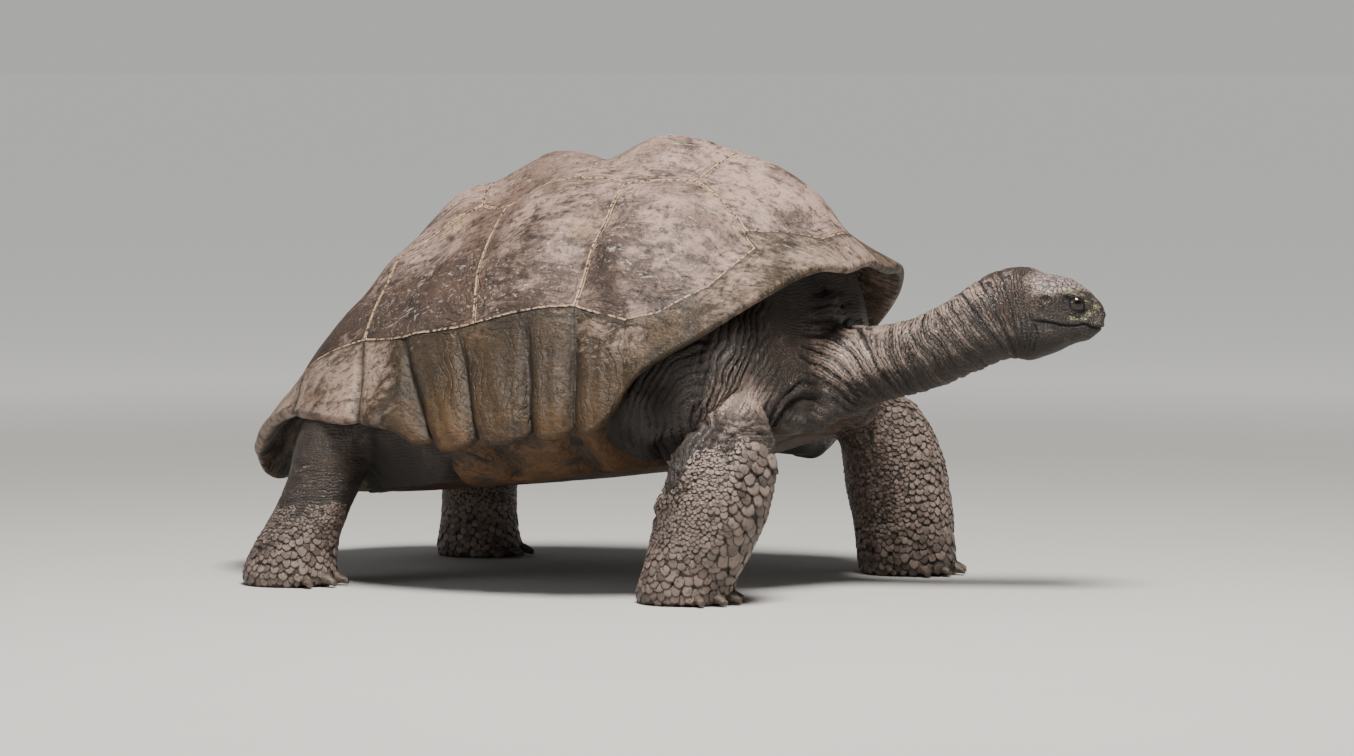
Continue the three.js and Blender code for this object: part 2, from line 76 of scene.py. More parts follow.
# the seams of every plate, as pairs of corners; a star is the same corner on the other side
MIDDLE_PLATES = {
    "nuchal": "c0 n, n n*", "vertebral_1": "n n*, n a1, a1 a2, a2 a2*",
    "vertebral_2": "a2 a2*, a2 a3, a3 a4, a4 a4*", "vertebral_3": "a4 a4*, a4 a5, a5 a6, a6 a6*",
    "vertebral_4": "a6 a6*, a6 a7, a7 a8, a8 a8*", "vertebral_5": "a8 a8*, a8 a9, b10 a10, a10 a10*",
    "supracaudal": "a10 a10*, a10 c11",
}
SIDE_PLATES = {
    "pleural_1": "a1 a2, a2 a3, a3 b5, b5 b4, b4 b3, b3 b2, b2 b1, a1 c1",
    "pleural_2": "a3 a4, a4 a5, a5 t2, b7 b6, b6 b5, b5 a3",
    "pleural_3": "a5 a6, a6 a7, a7 b9, b9 b8, b8 b7, b7 b6, t2 a5",
    "pleural_4": "a7 a8, a8 a9, b10 a10, b10 b9, b9 a7",
    "marginal_1": "c0 n, n a1, a1 c1", "marginal_2": "a1 c1, b1 b2, b2 c2",
    "marginal_3": "c2 b2, b2 b3, b3 c3", "marginal_4": "c3 b3, b3 b4, b4 c4",
    "marginal_5": "c4 b4, b4 b5, b5 c5", "marginal_6": "c5 b5, b5 b6, b6 c6",
    "marginal_7": "c6 b6, b6 b7, b7 c7", "marginal_8": "c7 b7, b7 b8, b8 c8",
    "marginal_9": "c8 b8, b8 b9, b9 c9", "marginal_10": "c9 b9, b9 b10, b10 c10",
    "marginal_11": "c10 b10, b10 a10, a10 c11",
}
# the belly plates: x, half width, height of the bottom and how far the sides turn up
BELLY_STATIONS = [[-405, 70, -66, 4], [-385, 120, -70, 6], [-320, 175, -76, 8], [-200, 215, -84, 10],
                  [-95, 240, -88, 14], [-62, 300, -89, 26], [-40, 401, -89, 84], [20, 406, -89, 88],
                  [110, 408, -89, 88], [200, 405, -89, 88], [255, 397, -89, 84], [282, 335, -88, 46],
                  [315, 245, -83, 14], [400, 225, -68, 10], [480, 190, -52, 8], [530, 130, -40, 6],
                  [548, 80, -37, 4]]
BELLY_WALL, BELLY_EDGE = 13, 402
# each pair of belly plates reaches from one x to the other
BELLY_SEAMS = {"gular": (455, 700), "humeral": (300, 455), "pectoral": (205, 300), "abdominal": (-70, 205),
               "femoral": (-285, -70), "anal": (-600, -285)}
SEAM_GAP = 0.3
DEGREE_WIDE, DOME_DEEP, DOME_LONG = 7.6, 640, 600  # a degree of the rim, and the ways from top to rim
HUB = np.array((110.0, 0.0, -60.0))  # every seam's plane passes through this point
PLATE_EDGE, NAIL_EDGE = 40, 50  # edges sharper than this stay sharp

HEAD_AT, HEAD_TURN = (868, 45, 485), 12
HEAD_SHARE = (-44, -22)  # over these lengths the neck's surface gives way to the head's
# the head's cross sections from back to front: [x, top, bottom, half width, squareness]
HEAD_RINGS = [[-75, 70, -80, 46, 2.05], [-50, 76, -87, 50, 2.1], [-22, 71, -87, 54, 2.4],
              [3, 62, -80, 55, 2.5], [29, 57, -70, 50, 2.6], [47, 54, -61, 44, 2.6], [62, 46, -55, 38, 2.6],
              [78, 35, -51, 31, 2.4], [91, 22, -42, 25, 2.2], [100, 13, -33, 19, 2.1], [105, 6, -25, 13, 2],
              [108, -1, -15, 6, 2]]
SNOUT = 109.5
# the line of the mouth: [x, height]
MOUTH = [[-6, -17], [23, -20], [42, -25], [60, -26], [74, -23], [86, -27], [120, -33]]
JAW_FOLDS = [(-4, 2.4), (-11, 2.6), (-19, 2.2), (-28, 1.9), (-38, 1.5)]  # behind the mouth: x and depth
# the creases over and under the eye: distance from its middle, half length and depth
EYE_CREASES = [(17.5, 19, 1.5), (22.5, 22, 1.0), (-15.5, 15, 1.2), (-20, 17, 0.8)]
# the pale patches round the eye: x, height, half length and half height
EYE_PATCHES = [(50, 34, 15, 3.5), (66, 27, 9, 3), (58, -13, 9, 4), (84, -4, 9, 5), (94, 6, 7, 5),
               (78, 15, 6, 3), (74, -14, 8, 3)]
EYE = {"forward": 61, "deep": 23.5, "up": 11.5, "ball": 17, "bulge": 0.045, "bulge_angle": 26}
# the middle line of the neck, from inside the shell to the head: [x, y, height]
NECK_LINE = [[400, -5, 345], [460, -4, 362], [515, -2, 376], [560, 0, 386], [610, 1, 393], [665, 5, 407],
             [722, 11, 432], [773, 22, 461], [800, 29, 474], [822, 35, 480], [855, 42, 481]]
# each leg's middle line and girth from the sole up: [height, x, y, half length, half width]
LEGS = {
    "foreleg_right": [[0, 366, -330, 76, 70], [46, 380, -330, 84, 76], [98, 404, -330, 92, 80],
                      [140, 418, -326, 97, 84], [180, 427, -320, 97, 86], [226, 438, -308, 88, 84],
                      [285, 455, -290, 54, 62], [345, 457, -278, 14, 18]],
    "foreleg_left": [[0, 512, 300, 78, 72], [50, 511, 300, 90, 80], [100, 508, 298, 93, 82],
                     [147, 500, 292, 95, 85], [202, 494, 282, 95, 88], [254, 480, 270, 90, 86],
                     [300, 466, 255, 76, 78], [352, 445, 236, 24, 28]],
    "hindleg_right": [[0, -384, -336, 78, 72], [36, -380, -334, 82, 76], [80, -369, -328, 74, 70],
                      [126, -350, -312, 68, 67], [184, -331, -292, 68, 70], [235, -318, -276, 76, 78],
                      [280, -302, -258, 84, 86], [368, -274, -222, 20, 22]],
    "hindleg_left": [[0, -330, 282, 74, 70], [40, -327, 278, 76, 72], [85, -322, 270, 71, 69],
                     [130, -317, 262, 71, 70], [190, -304, 252, 78, 76], [250, -290, 240, 86, 84],
                     [300, -278, 226, 86, 82], [352, -266, 212, 26, 26]],
}
HINDLEGS = ("hindleg_right", "hindleg_left")
# the nails of a foot: angle from straight ahead and size
CLAWS = {"fore": [(-46, .9), (-22, 1.05), (2, 1.1), (25, 1.05), (48, .9)],
         "hind": [(-40, .9), (-13, 1.05), (14, 1.05), (40, .9)]}
# how far the rim is notched at the seams and hangs between them, by the angle from the nose
NOTCH = [[0, 0], [60, 0], [68, 13], [112, 13], [122, 7], [150, 5], [165, 0]]
LOBE = [[0, 0], [60, 0], [68, 7], [112, 7], [122, 5], [150, 4], [165, 2]]
# old bumps, hollows and scars of the near side: [x, y, height, reach along, reach across]
MARKS = [(286, -304, 14, 44, 22), (250, -262, -7, 62, 24), (225, -330, -5, 30, 22), (-94, -258, -6, 20, 13),
         (-70, -225, 4, 34, 22), (-112, -133, 4, 40, 30), (60, -300, 4, 60, 26), (100, -240, -4, 50, 30)]
CELL, SKIN_CELL = 3.2, 7.9  # mesh spacing of the plates and of the flesh
# the web of skin behind the near foreleg, on the shoulder's own plane: [height, middle, half width]
WEB = [[90, 160, 12], [160, 182, 15], [210, 204, 20], [244, 221, 25], [328, 249, 38], [437, 275, 48],
       [479, 300, 38], [520, 310, 34]]
# the fold over the pocket under the neck, on the same plane: [place ahead, height]
POCKET_FOLD = [[320, 235], [344, 262], [372, 301], [401, 319], [444, 308], [480, 296]]
# where the hide is pale and shiny: the neck's side and nape, the caps of the forelegs and the pocket; the
# pale is partly worn hide and partly painted highlight
WORN = [((565, -70, 400), (62, 60, 34)), ((450, -275, 330), (46, 60, 48)), ((640, 0, 450), (120, 50, 30)),
        ((500, 262, 300), (60, 60, 60)), ((486, -86, 310), (24, 30, 16)), ((690, -20, 490), (50, 50, 22)),
        ((748, -25, 520), (42, 42, 24))]
FLESH = ["head", "neck", "foreleg_right", "foreleg_left", "hindleg_right", "hindleg_left", "tail", "trunk"]
TRUNK_SPLIT, TRUNK_ROOF = 300, 130  # behind this x the shell hides the trunk above this height
# the parts of the near shoulder that are seen close: least and greatest x, y and height
NEAR_SHOULDER = ((230, -1000, 190), (560, -120, 500))
SCALE_TRIES, SCALE_SPACING, SCALE_SIDES = 34000, 0.68, 8  # a leg's candidates, their spacing, corners of one
# the stage, in metres
FLOOR_HALF, BODY_MIDDLE = 400, (0, 0, 0.3)
CAMERA_AT, CAMERA_AIM = (3.8134, -8.1562, 0.9), (0.0098, 0.0006, 0.354)
SIDES = (("right", -1), ("left", 1))

SHELL_TURN = np.array(Matrix.Rotation(math.radians(-PITCH_UP), 3, "Y")
                      @ Matrix.Rotation(math.radians(-ROLL_LEFT), 3, "X"))
HEAD_ROT = np.array(Matrix.Rotation(math.radians(HEAD_TURN), 3, "Z"))


# ------------------------------------------------------------------ small maths
def shell_to_world(p):
    """Rows of shell millimetres to metres in the part's frame."""
    return (p @ SHELL_TURN.T + np.array(SHELL_AT) + np.array(MIDDLE)) / 1000


def world_to_shell(p):
    return (p * 1000 - np.array(MIDDLE) - np.array(SHELL_AT)) @ SHELL_TURN


def stance_to_world(p):
    return (np.asarray(p, float) + np.array(MIDDLE)) / 1000


def world_to_stance(p):
    return p * 1000 - np.array(MIDDLE)


def head_to_world(p):
    return (p @ HEAD_ROT.T + np.array(HEAD_AT) + np.array(MIDDLE)) / 1000


def world_to_head(p):
    return (p * 1000 - np.array(MIDDLE) - np.array(HEAD_AT)) @ HEAD_ROT


def step(low, high, x):
    t = np.clip((x - low) / (high - low), 0, 1)
    return t * t * (3 - 2 * t)


def hump(x, width):
    return np.exp(-(x / width) ** 2)


def spot(p, at, reach):
    """1 at one place, falling to 0 beyond its reach along each axis."""
    return np.exp(-((p - at) ** 2 / np.square(reach)).sum(1))


def from_nose(deg):
    """The angle from straight ahead, 0 to 180, on either side."""
    return np.abs((deg + 180) % 360 - 180)


def unit(v):
    return v / np.maximum(np.linalg.norm(v, axis=-1, keepdims=True), 1e-12)


def along(table, at, column=1):
    """A table's column at given places, on a smooth curve that never overshoots its rows."""
    x = np.array([row[0] for row in table], float)
    y = np.array([row[column] for row in table], float)
    run, slope = np.diff(x), np.diff(y) / np.diff(x)
    tangent = np.zeros(len(x))
    same = slope[1:] * slope[:-1] > 0
    tangent[1:-1][same] = 2 * slope[1:][same] * slope[:-1][same] / (slope[1:] + slope[:-1])[same]
    at = np.clip(at, x[0], x[-1])
    i = np.clip(np.searchsorted(x, at, side="right") - 1, 0, len(x) - 2)
    t = (at - x[i]) / run[i]
    return (y[i] * (1 + 2 * t) * (1 - t) ** 2 + tangent[i] * run[i] * t * (1 - t) ** 2
            + y[i + 1] * t * t * (3 - 2 * t) + tangent[i + 1] * run[i] * t * t * (t - 1))


def lattice(cell, seed):
    """A repeatable number from 0 to 1 for every whole-number cell."""
    h = cell[:, 0] * 374761393 + cell[:, 1] * 668265263 + cell[:, 2] * 1442695041 + seed * 974711
    h = (h ^ (h >> 13)) * 1274126177 & 0xFFFFFFFF
    h = (h ^ (h >> 16)) * 2246822519 & 0xFFFFFFFF
    return ((h ^ (h >> 15)) & 0xFFFF) / 65535.0


def lumps(p, size, seed=0, octaves=1):
    """Smooth noise from -1 to 1 with lumps of the given size."""
    total, weight = np.zeros(len(p)), 0.0
    for octave in range(octaves):
        q = p / (size * 0.5 ** octave) + 17.3 * octave
        cell = np.floor(q).astype(np.int64)
        f = q - cell
        f = f * f * (3 - 2 * f)
        value = np.zeros(len(p))
        for dx in (0, 1):
            for dy in (0, 1):
                for dz in (0, 1):
                    share = (np.abs(1 - dx - f[:, 0]) * np.abs(1 - dy - f[:, 1]) * np.abs(1 - dz - f[:, 2]))
                    value += share * lattice(cell + np.array((dx, dy, dz)), seed + octave)
        total += (2 * value - 1) * 0.5 ** octave
        weight += 0.5 ** octave
    return total / weight


# ------------------------------------------------------------------ shell surface
def outline(deg):
    a = np.radians(deg)
    ahead = np.cos(a) > 0
    n = np.where(ahead, SHELL["front_power"], SHELL["rear_power"])
    reach = np.where(ahead, SHELL["front"], SHELL["rear"])
    return ((np.abs(np.cos(a)) / reach) ** n + (np.abs(np.sin(a)) / SHELL["half"]) ** n) ** (-1 / n)


def smooth_dome(deg, s):
    a = from_nose(deg)
    rim, power, flare = along(RIM_HEIGHT, a), along(DOME_POWER, a), along(LIP_FLARE, a)
    lift = np.clip((s - 0.8) / 0.2, 0, 1) ** 1.6
    r = outline(deg) * ((1 - flare) * np.sin(s * np.pi / 2) ** (2 / power) + flare * lift)
    z = rim + (SHELL["top"] - rim) * np.maximum(np.cos(s * np.pi / 2), 0) ** (2 / power)
    return np.stack([SHELL["hub_x"] + r * np.cos(np.radians(deg)), r * np.sin(np.radians(deg)), z], 1)


def dome(deg, s, raise_by=0.0):
    """Points of the domed surface with its growth bosses, lifted along the normal, and the normals."""
    deg, s = np.broadcast_arrays(np.asarray(deg, float), np.asarray(s, float))
    at = np.clip(s, 0.012, 0.995)
    across = smooth_dome(deg + 0.5, at) - smooth_dome(deg - 0.5, at)
    down = smooth_dome(deg, at + 0.004) - smooth_dome(deg, at - 0.004)
    normal = unit(np.cross(down, across))
    p = smooth_dome(deg, s)
    boss = np.zeros(len(p))
    for x, y, height, reach_x, reach_y in BOSSES:
        for side in ((1, -1) if y else (1,)):
            d = ((p[:, 0] - x) / reach_x) ** 2 + ((p[:, 1] - side * y) / reach_y) ** 2
            boss += height * np.maximum(1 - d, 0) ** 2
    return p + normal * np.reshape(boss + raise_by, (-1, 1)), normal




# ------------------------------------------------------------------ mesh tools
def sheet(nx, ny):
    """A bmesh grid and the two shares, 0 to 1, of each vertex across it."""
    bm = bmesh.new()
    bmesh.ops.create_grid(bm, x_segments=nx, y_segments=ny, size=0.5)
    bm.verts.ensure_lookup_table()
    share = np.array([(v.co.x + 0.5, v.co.y + 0.5) for v in bm.verts])
    return bm, share[:, 0], share[:, 1]


def set_places(bm, points):
    for v, p in zip(bm.verts, points.tolist()):
        v.co = p


def places(bm):
    return np.array([v.co for v in bm.verts])


def cut_solid(bm, point, normal):
    """Cuts away what lies behind a plane and closes the cut."""
    geom = bm.verts[:] + bm.edges[:] + bm.faces[:]
    cut = bmesh.ops.bisect_plane(bm, geom=geom, dist=1e-7, plane_co=point, plane_no=normal, clear_inner=True)
    edges = [e for e in cut["geom_cut"] if isinstance(e, bmesh.types.BMEdge) and e.is_boundary]
    if edges:
        bmesh.ops.holes_fill(bm, edges=edges, sides=0)


def show_mesh(name, mesh, sharp_above=None):
    """A new object at the origin that shows a mesh, shaded smooth up to the given angle."""
    obj = bpy.data.objects.new(name, mesh)
    bpy.context.scene.collection.objects.link(obj)
    mesh.polygons.foreach_set("use_smooth", [True] * len(mesh.polygons))
    if sharp_above is not None:
        mesh.set_sharp_from_angle(angle=math.radians(sharp_above))
    return obj


def to_mesh(name, bm):
    """A new mesh from a finished bmesh."""
    mesh = bpy.data.meshes.new(name)
    bm.to_mesh(mesh)
    bm.free()
    return mesh


def add_object(name, bm, sharp_above=None):
    return show_mesh(name, to_mesh(name, bm), sharp_above)


def join(bm, part):
    """Adds a part to a bmesh and uses it up."""
    mesh = to_mesh("part", part)
    bm.from_mesh(mesh)
    bpy.data.meshes.remove(mesh)


def many(name, template, at):
    """One object of many copies of a small template mesh; at holds the vertices of every copy."""
    template.verts.index_update()
    faces = [[v.index for v in f.verts] for f in template.faces]
    template.free()
    count, size = at.shape[:2]
    mesh = bpy.data.meshes.new(name)
    mesh.from_pydata(at.reshape(-1, 3).tolist(), [],
                     [[i + k * size for i in f] for k in range(count) for f in faces])
    return show_mesh(name, mesh)


def read(rows, name, width, kind=float):
    """One property of every row of a mesh's table."""
    values = np.zeros(len(rows) * width, kind)
    rows.foreach_get(name, values)
    return values.reshape(-1, width)


def point_value(obj, name, values):
    attribute = obj.data.attributes.new(name, "FLOAT", "POINT")
    attribute.data.foreach_set("value", np.asarray(values, np.float32))


def finish(obj, material, slot_name, *nodes):
    """Paints a finished piece, puts it on the body and lets it stand for its nodes."""
    obj.data.materials.clear()
    obj.data.materials.append(material)
    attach(obj, "root")
    if nodes:
        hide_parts(*nodes)


# ------------------------------------------------------------------ shell plates
def corner_place(name, side):
    """A corner's angle from the nose and its share of the way to the rim, on the given side."""
    deg, s = CORNERS[name.rstrip("*")]
    return deg * side * (-1 if name.endswith("*") else 1), s


def corner(name, side):
    deg, s = corner_place(name, side)
    return dome(np.array([deg]), np.array([s]))[0][0]


def inward_normals(pairs, sides):
    """Each seam's plane through the hub, as the normal that points to the middle of all the seams."""
    ends = [(corner(a, k), corner(b, k)) for k in sides for a, b in pairs]
    inside = np.mean([p for pair in ends for p in pair], 0)
    normals = [unit(np.cross(a - HUB, b - HUB)) for a, b in ends]
    return np.array([n if n @ (inside - HUB) > 0 else -n for n in normals])


def plate_seams(seams, sides):
    """The inward normals of a plate's seams, and its corners' own angles and shares."""
    pairs = [pair.split() for pair in seams.split(", ")]
    spots = [corner_place(c, k) for k in sides for pair in pairs for c in pair]
    return inward_normals(pairs, sides), np.array(spots)


def side_seams(seams, sides):
    """The inward normals of the two seams of a rim plate that run out to the rim."""
    return inward_normals([pair.split() for pair in seams.split(", ") if "c" in pair], sides)


def seam_distance(p, normals):
    return np.min((p - HUB) @ normals.T, axis=1)


def across_share(p, seams):
    """0 at one side seam, 1 at the other."""
    near, far = ((p - HUB) @ seams.T).T
    return np.clip(near / np.maximum(near + far, 1e-6), 0, 1)


def plate_relief(p, deg, s, normals, ends=None):
    """How far the worn surface stands off the plain dome, in millimetres."""
    d = seam_distance(p, normals)
    a = from_nose(deg)
    wave = lumps(p, 34, 3, 2)
    relief = 1.6 * lumps(p, 120, 5, 2) + 0.9 * lumps(p, 46, 6, 2) + 0.35 * lumps(p, 15, 8, 2)
    for x, y, height, reach_x, reach_y in MARKS:
        relief += height * np.exp(-((p[:, 0] - x) / reach_x) ** 2 - ((p[:, 1] - y) / reach_y) ** 2)
    rings = np.sin((d + 7 * wave) * 2 * np.pi / 9.5) * np.exp(-d / 45) * step(-0.3, 0.4, lumps(p, 70, 9))
    if ends is None:
        return relief - 1.0 * hump(d, 1.6) + 0.8 * hump(d - 6, 4) - 1.3 * hump(d, 16) + 0.5 * rings
    side_on = step(56, 72, a) * (1 - step(124, 140, a))
    behind = step(124, 140, a) * (1 - step(166, 174, a))
    share = across_share(p, ends)
    rib = 1 - np.abs(2 * share - 1) ** 2.6
    to_side = seam_distance(p, ends)
    groove = hump(to_side + 3.5 * lumps(p, 28, 12, 2), 10) * step(0.70, 0.80, s)
    low = hump(s - 0.955, 0.035)
    relief += side_on * (10 * rib * step(0.72, 0.93, s) - 4.5 * hump(s - 0.84, 0.07) - 9 * groove
                        + 6 * rib * low - 2.5
                        + 0.9 * np.sin(19 * share + 3 * lumps(p, 80, 13)) * rib * step(0.74, 0.84, s))
    relief += behind * (5 * rib * step(0.75, 0.95, s) - 2.5 * hump(to_side, 7) * step(0.74, 0.84, s))
    relief += (1 - side_on - behind) * 0.8 * rib
    return relief - 0.8 * hump(d, 1.8) * np.maximum(side_on, behind) + 0.35 * rings


def wall_in(bm):
    """Doubles an open sheet into a closed one and says which vertices belong to the new, inner side."""
    made = bmesh.ops.extrude_face_region(bm, geom=bm.faces[:], use_keep_orig=True)["geom"]
    inner = {v for v in made if isinstance(v, bmesh.types.BMVert)}
    return np.array([v in inner for v in bm.verts])


def top_plate(seams, sides):
    """A plate of the dome's upper part, before its seams are cut: a sheet doubled into a wall."""
    normals, spots = plate_seams(seams, sides)
    spots = spots[spots[:, 1] < 1]
    turn = np.radians(spots[:, 0])
    u, v = spots[:, 1] * np.cos(turn), spots[:, 1] * np.sin(turn)
    room = 0.06
    low, high = np.array((u.min(), v.min())) - room, np.array((u.max(), v.max())) + room
    counts = np.maximum(((high - low) * np.array((DOME_LONG, SHELL["half"])) / CELL), 8).astype(int)
    bm, share_u, share_v = sheet(int(counts[0]), int(counts[1]))
    spread = np.stack([low[0] + (high[0] - low[0]) * share_u, low[1] + (high[1] - low[1]) * share_v,
                       share_u * 0], 1)
    set_places(bm, spread)
    outside = [x for x, far in zip(bm.verts, np.hypot(spread[:, 0], spread[:, 1]) > 0.985) if far]
    bmesh.ops.delete(bm, geom=outside, context="VERTS")
    inner = wall_in(bm)
    u, v = places(bm)[:, :2].T
    s, deg = np.maximum(np.hypot(u, v), 0.004), np.degrees(np.arctan2(v, u))
    relief = plate_relief(dome(deg, s)[0], deg, s, normals)
    set_places(bm, dome(deg, s, np.where(inner, -SHELL["wall"], relief))[0] / 1000)
    bmesh.ops.recalc_face_normals(bm, faces=bm.faces[:])
    return bm, normals


def rim_plate(seams, sides):
    """A plate that ends at the rim: its sheet runs down the outside, round the lip and up the inside."""
    normals, spots = plate_seams(seams, sides)
    ends = side_seams(seams, sides)
    if np.ptp(spots[:, 0]) > 180:  # the plate at the very rear
        spots[:, 0] = spots[:, 0] % 360
    room = 4
    low, high = spots[:, 0].min() - room, spots[:, 0].max() + room
    s_low = spots[:, 1].min() - 0.05
    wide = int((high - low) * DEGREE_WIDE / CELL)
    tall = int((1 - s_low) * DOME_DEEP / CELL)
    round_steps = 8
    bm, share_a, share_b = sheet(max(wide, 10), 2 * tall + round_steps)
    deg = low + (high - low) * share_a
    row = np.rint(share_b * (2 * tall + round_steps))
    outer = np.minimum(row, tall) / tall
    inner = np.maximum(row - tall - round_steps, 0) / tall
    turn = np.clip((row - tall) / round_steps, 0, 1) * np.pi
    s = np.where(row <= tall + round_steps / 2, s_low + (1 - s_low) * outer, 1 - (1 - s_low) * inner)
    p = dome(deg, s)[0]
    relief = plate_relief(p, deg, s, normals, ends)
    wall = SHELL["wall"]
    at = dome(deg, s, np.where(row <= tall, relief, -wall))[0]
    lip = (row > tall) & (row < tall + round_steps)
    a, b = dome(deg, 1.0, relief)[0], dome(deg, 1.0, -wall)[0]
    down = unit(dome(deg, 1.0)[0] - dome(deg, 0.97)[0])
    middle = (a + b) / 2
    around = middle + (a - middle) * np.cos(turn)[:, None] + down * (np.sin(turn) * wall * 0.42)[:, None]
    points = np.where(lip[:, None], around, at)
    lobe = (1 - np.abs(2 * across_share(p, ends) - 1) ** 2.2) ** 0.7
    full = from_nose(deg)
    points[:, 2] += (along(NOTCH, full) * (1 - lobe) - along(LOBE, full) * lobe) * step(0.88, 1.0, s)
    set_places(bm, points / 1000)
    rows = dict(zip(bm.verts, row))
    open_edges = [e for e in bm.edges if e.is_boundary]
    first_and_last = [e for e in open_edges for r in (0, 2 * tall + round_steps)
                      if all(rows[v] == r for v in e.verts)]
    bmesh.ops.bridge_loops(bm, edges=first_and_last)
    bmesh.ops.holes_fill(bm, edges=[e for e in bm.edges if e.is_boundary], sides=0)
    bmesh.ops.recalc_face_normals(bm, faces=bm.faces[:])
    return bm, normals


def shell_plate(seams, sides, rim):
    """A finished plate of the shell, and the distance of each vertex from the seams."""
    bm, normals = rim_plate(seams, sides) if rim else top_plate(seams, sides)
    gap = SEAM_GAP / 2000
    for n in normals:
        cut_solid(bm, Vector((HUB / 1000 + n * gap).tolist()), Vector(n.tolist()))
    bmesh.ops.recalc_face_normals(bm, faces=bm.faces[:])
    p = places(bm) * 1000
    set_places(bm, shell_to_world(p))
    if not rim:
        return bm, seam_distance(p, normals)
    # at the front the rim plates have all but grown together, so their side seams count as far away
    ends = side_seams(seams, sides)
    own = [n for n in normals if min(np.abs(n - k).sum() for k in ends) > 1e-6]
    to_side = seam_distance(p, ends) + 12 * step(230, 330, p[:, 0])
    return bm, np.minimum(to_side, seam_distance(p, np.array(own))) if own else to_side




# ------------------------------------------------------------------ belly plates
def bridge_seam(p):
    """Distance from the seams of the small plates between belly and rim, far off on the flat of the belly."""
    x, out = p[:, 0] + 5 * lumps(p, 40, 34), np.abs(p[:, 1])
    flat = 200 * (1 - step(255, 300, out))
    arch = np.abs(out - 372 + 0.011 * (x + 20) ** 2)
    return np.minimum(np.minimum(np.abs(x - 62), np.abs(x - 214)), arch) + flat


def belly_plate(name, side):
    """One half of a belly shield: a bowed sheet with turned-up sides, walled and cut along its seams."""
    low_x, high_x = BELLY_SEAMS[name]
    ends = (BELLY_STATIONS[0][0], BELLY_STATIONS[-1][0])
    start, stop = max(low_x - 12, ends[0]), min(high_x + 12, ends[1])
    bm, share_x, share_t = sheet(max(int((stop - start) / 4), 12), 110)
    x, t = start + (stop - start) * share_x, -0.05 + 1.05 * share_t
    half, bottom, rise = (along(BELLY_STATIONS, x, k) for k in (1, 2, 3))
    z = bottom + rise * np.maximum((np.abs(t) - 0.66) / 0.34, 0) ** 1.4
    y = side * t * half
    p = np.stack([x, y, z], 1)
    d = np.minimum(np.minimum(np.abs(y), np.abs(x - max(low_x, ends[0]))), np.abs(x - min(high_x, ends[1])))
    d = np.minimum(d, bridge_seam(p))
    bridge = step(-60, -20, x) * (1 - step(240, 280, x)) * step(0.66, 0.78, np.abs(t))
    p[:, 2] += 1.3 * hump(d, 2.4) + 1.5 * hump(d, 12) - 1.2 * lumps(p, 90, 31, 2)
    swell = bridge * (15 * step(2, 34, d) * (1 - step(0.9, 1.0, np.abs(t))) + 3 * lumps(p, 45, 33, 2))
    p += np.stack([0 * x, side * 0.55 * swell, -0.83 * swell], 1)
    set_places(bm, p / 1000)
    bmesh.ops.recalc_face_normals(bm, faces=bm.faces[:])
    if sum(f.normal.z for f in bm.faces) > 0:
        bmesh.ops.reverse_faces(bm, faces=bm.faces[:])
    bmesh.ops.solidify(bm, geom=bm.faces[:], thickness=BELLY_WALL / 1000)
    gap = SEAM_GAP / 2
    planes = [((0, side * gap, 0), (0, side, 0))]
    if low_x > ends[0]:
        planes.append(((low_x + gap, 0, 0), (1, 0, 0)))
    if high_x < ends[1]:
        planes.append(((high_x - gap, 0, 0), (-1, 0, 0)))
    for at, normal in planes:
        cut_solid(bm, Vector(at) / 1000, Vector(normal))
    bmesh.ops.recalc_face_normals(bm, faces=bm.faces[:])
    p = places(bm) * 1000
    out = np.abs(p[:, 1])
    across = [np.abs(p[:, 0] - at[0]) for at, _ in planes[1:]]
    # the belly's outer edge, where it tucks under the rim plates, counts as close to a seam, so the horn
    # paints its groove dark there: painted shade
    d = np.minimum.reduce([out, bridge_seam(p), (BELLY_EDGE - out).clip(0) * 0.5 + 2] + across)
    set_places(bm, shell_to_world(p))
    return bm, d


# ------------------------------------------------------------------ skin
def shell_point(x, z):
    return Vector(shell_to_world(np.array([[x, 0, z]], float))[0].tolist())


def flesh_base():
    """All flesh nodes run together into one even mesh, without the part of the trunk that the shell hides."""
    bm = bmesh.new()
    for name in FLESH:
        cuts = [[]]
        if name == "trunk":
            up, ahead = Vector((SHELL_TURN @ (0, 0, 1)).tolist()), Vector((SHELL_TURN @ (1, 0, 0)).tolist())
            split, roof = shell_point(TRUNK_SPLIT, 0), shell_point(0, TRUNK_ROOF)
            cuts = [[(split - ahead * 0.0005, ahead)], [(split, -ahead), (roof, -up)]]
        for planes in cuts:
            part = bmesh.new()
            part.from_mesh(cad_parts[name].data)
            bmesh.ops.remove_doubles(part, verts=part.verts[:], dist=1e-5)
            for at, normal in planes:
                cut_solid(part, at, normal)
            join(bm, part)
    obj = add_object("flesh", bm)
    remesh = obj.modifiers.new("Remesh", "REMESH")
    remesh.mode, remesh.voxel_size, remesh.adaptivity = "VOXEL", SKIN_CELL / 1000, 0
    even = bpy.data.meshes.new_from_object(obj.evaluated_get(bpy.context.evaluated_depsgraph_get()))
    bpy.data.objects.remove(obj)
    bm = bmesh.new()
    bm.from_mesh(even)
    bpy.data.meshes.remove(even)
    return bm


def relax(bm, verts, times):
    for _ in range(times):
        bmesh.ops.smooth_vert(bm, verts=verts, factor=0.5, use_axis_x=True, use_axis_y=True, use_axis_z=True)


def once(elements):
    """Each vertex, edge or face one time, in the order of the mesh, so that every run gives the same mesh."""
    return sorted(dict.fromkeys(elements), key=lambda element: element.index)


def refine(bm, wanted):
    """Halves the edges of the faces whose middles are wanted and rounds what is new."""
    middle = world_to_stance(np.array([f.calc_center_median() for f in bm.faces]))
    mask = wanted(middle)
    chosen = once(e for f, m in zip(bm.faces, mask) if m for e in f.edges)
    made = bmesh.ops.subdivide_edges(bm, edges=chosen, cuts=1, use_grid_fill=True)
    relax(bm, once(v for f in made["geom"] if isinstance(f, bmesh.types.BMFace) for v in f.verts), 2)


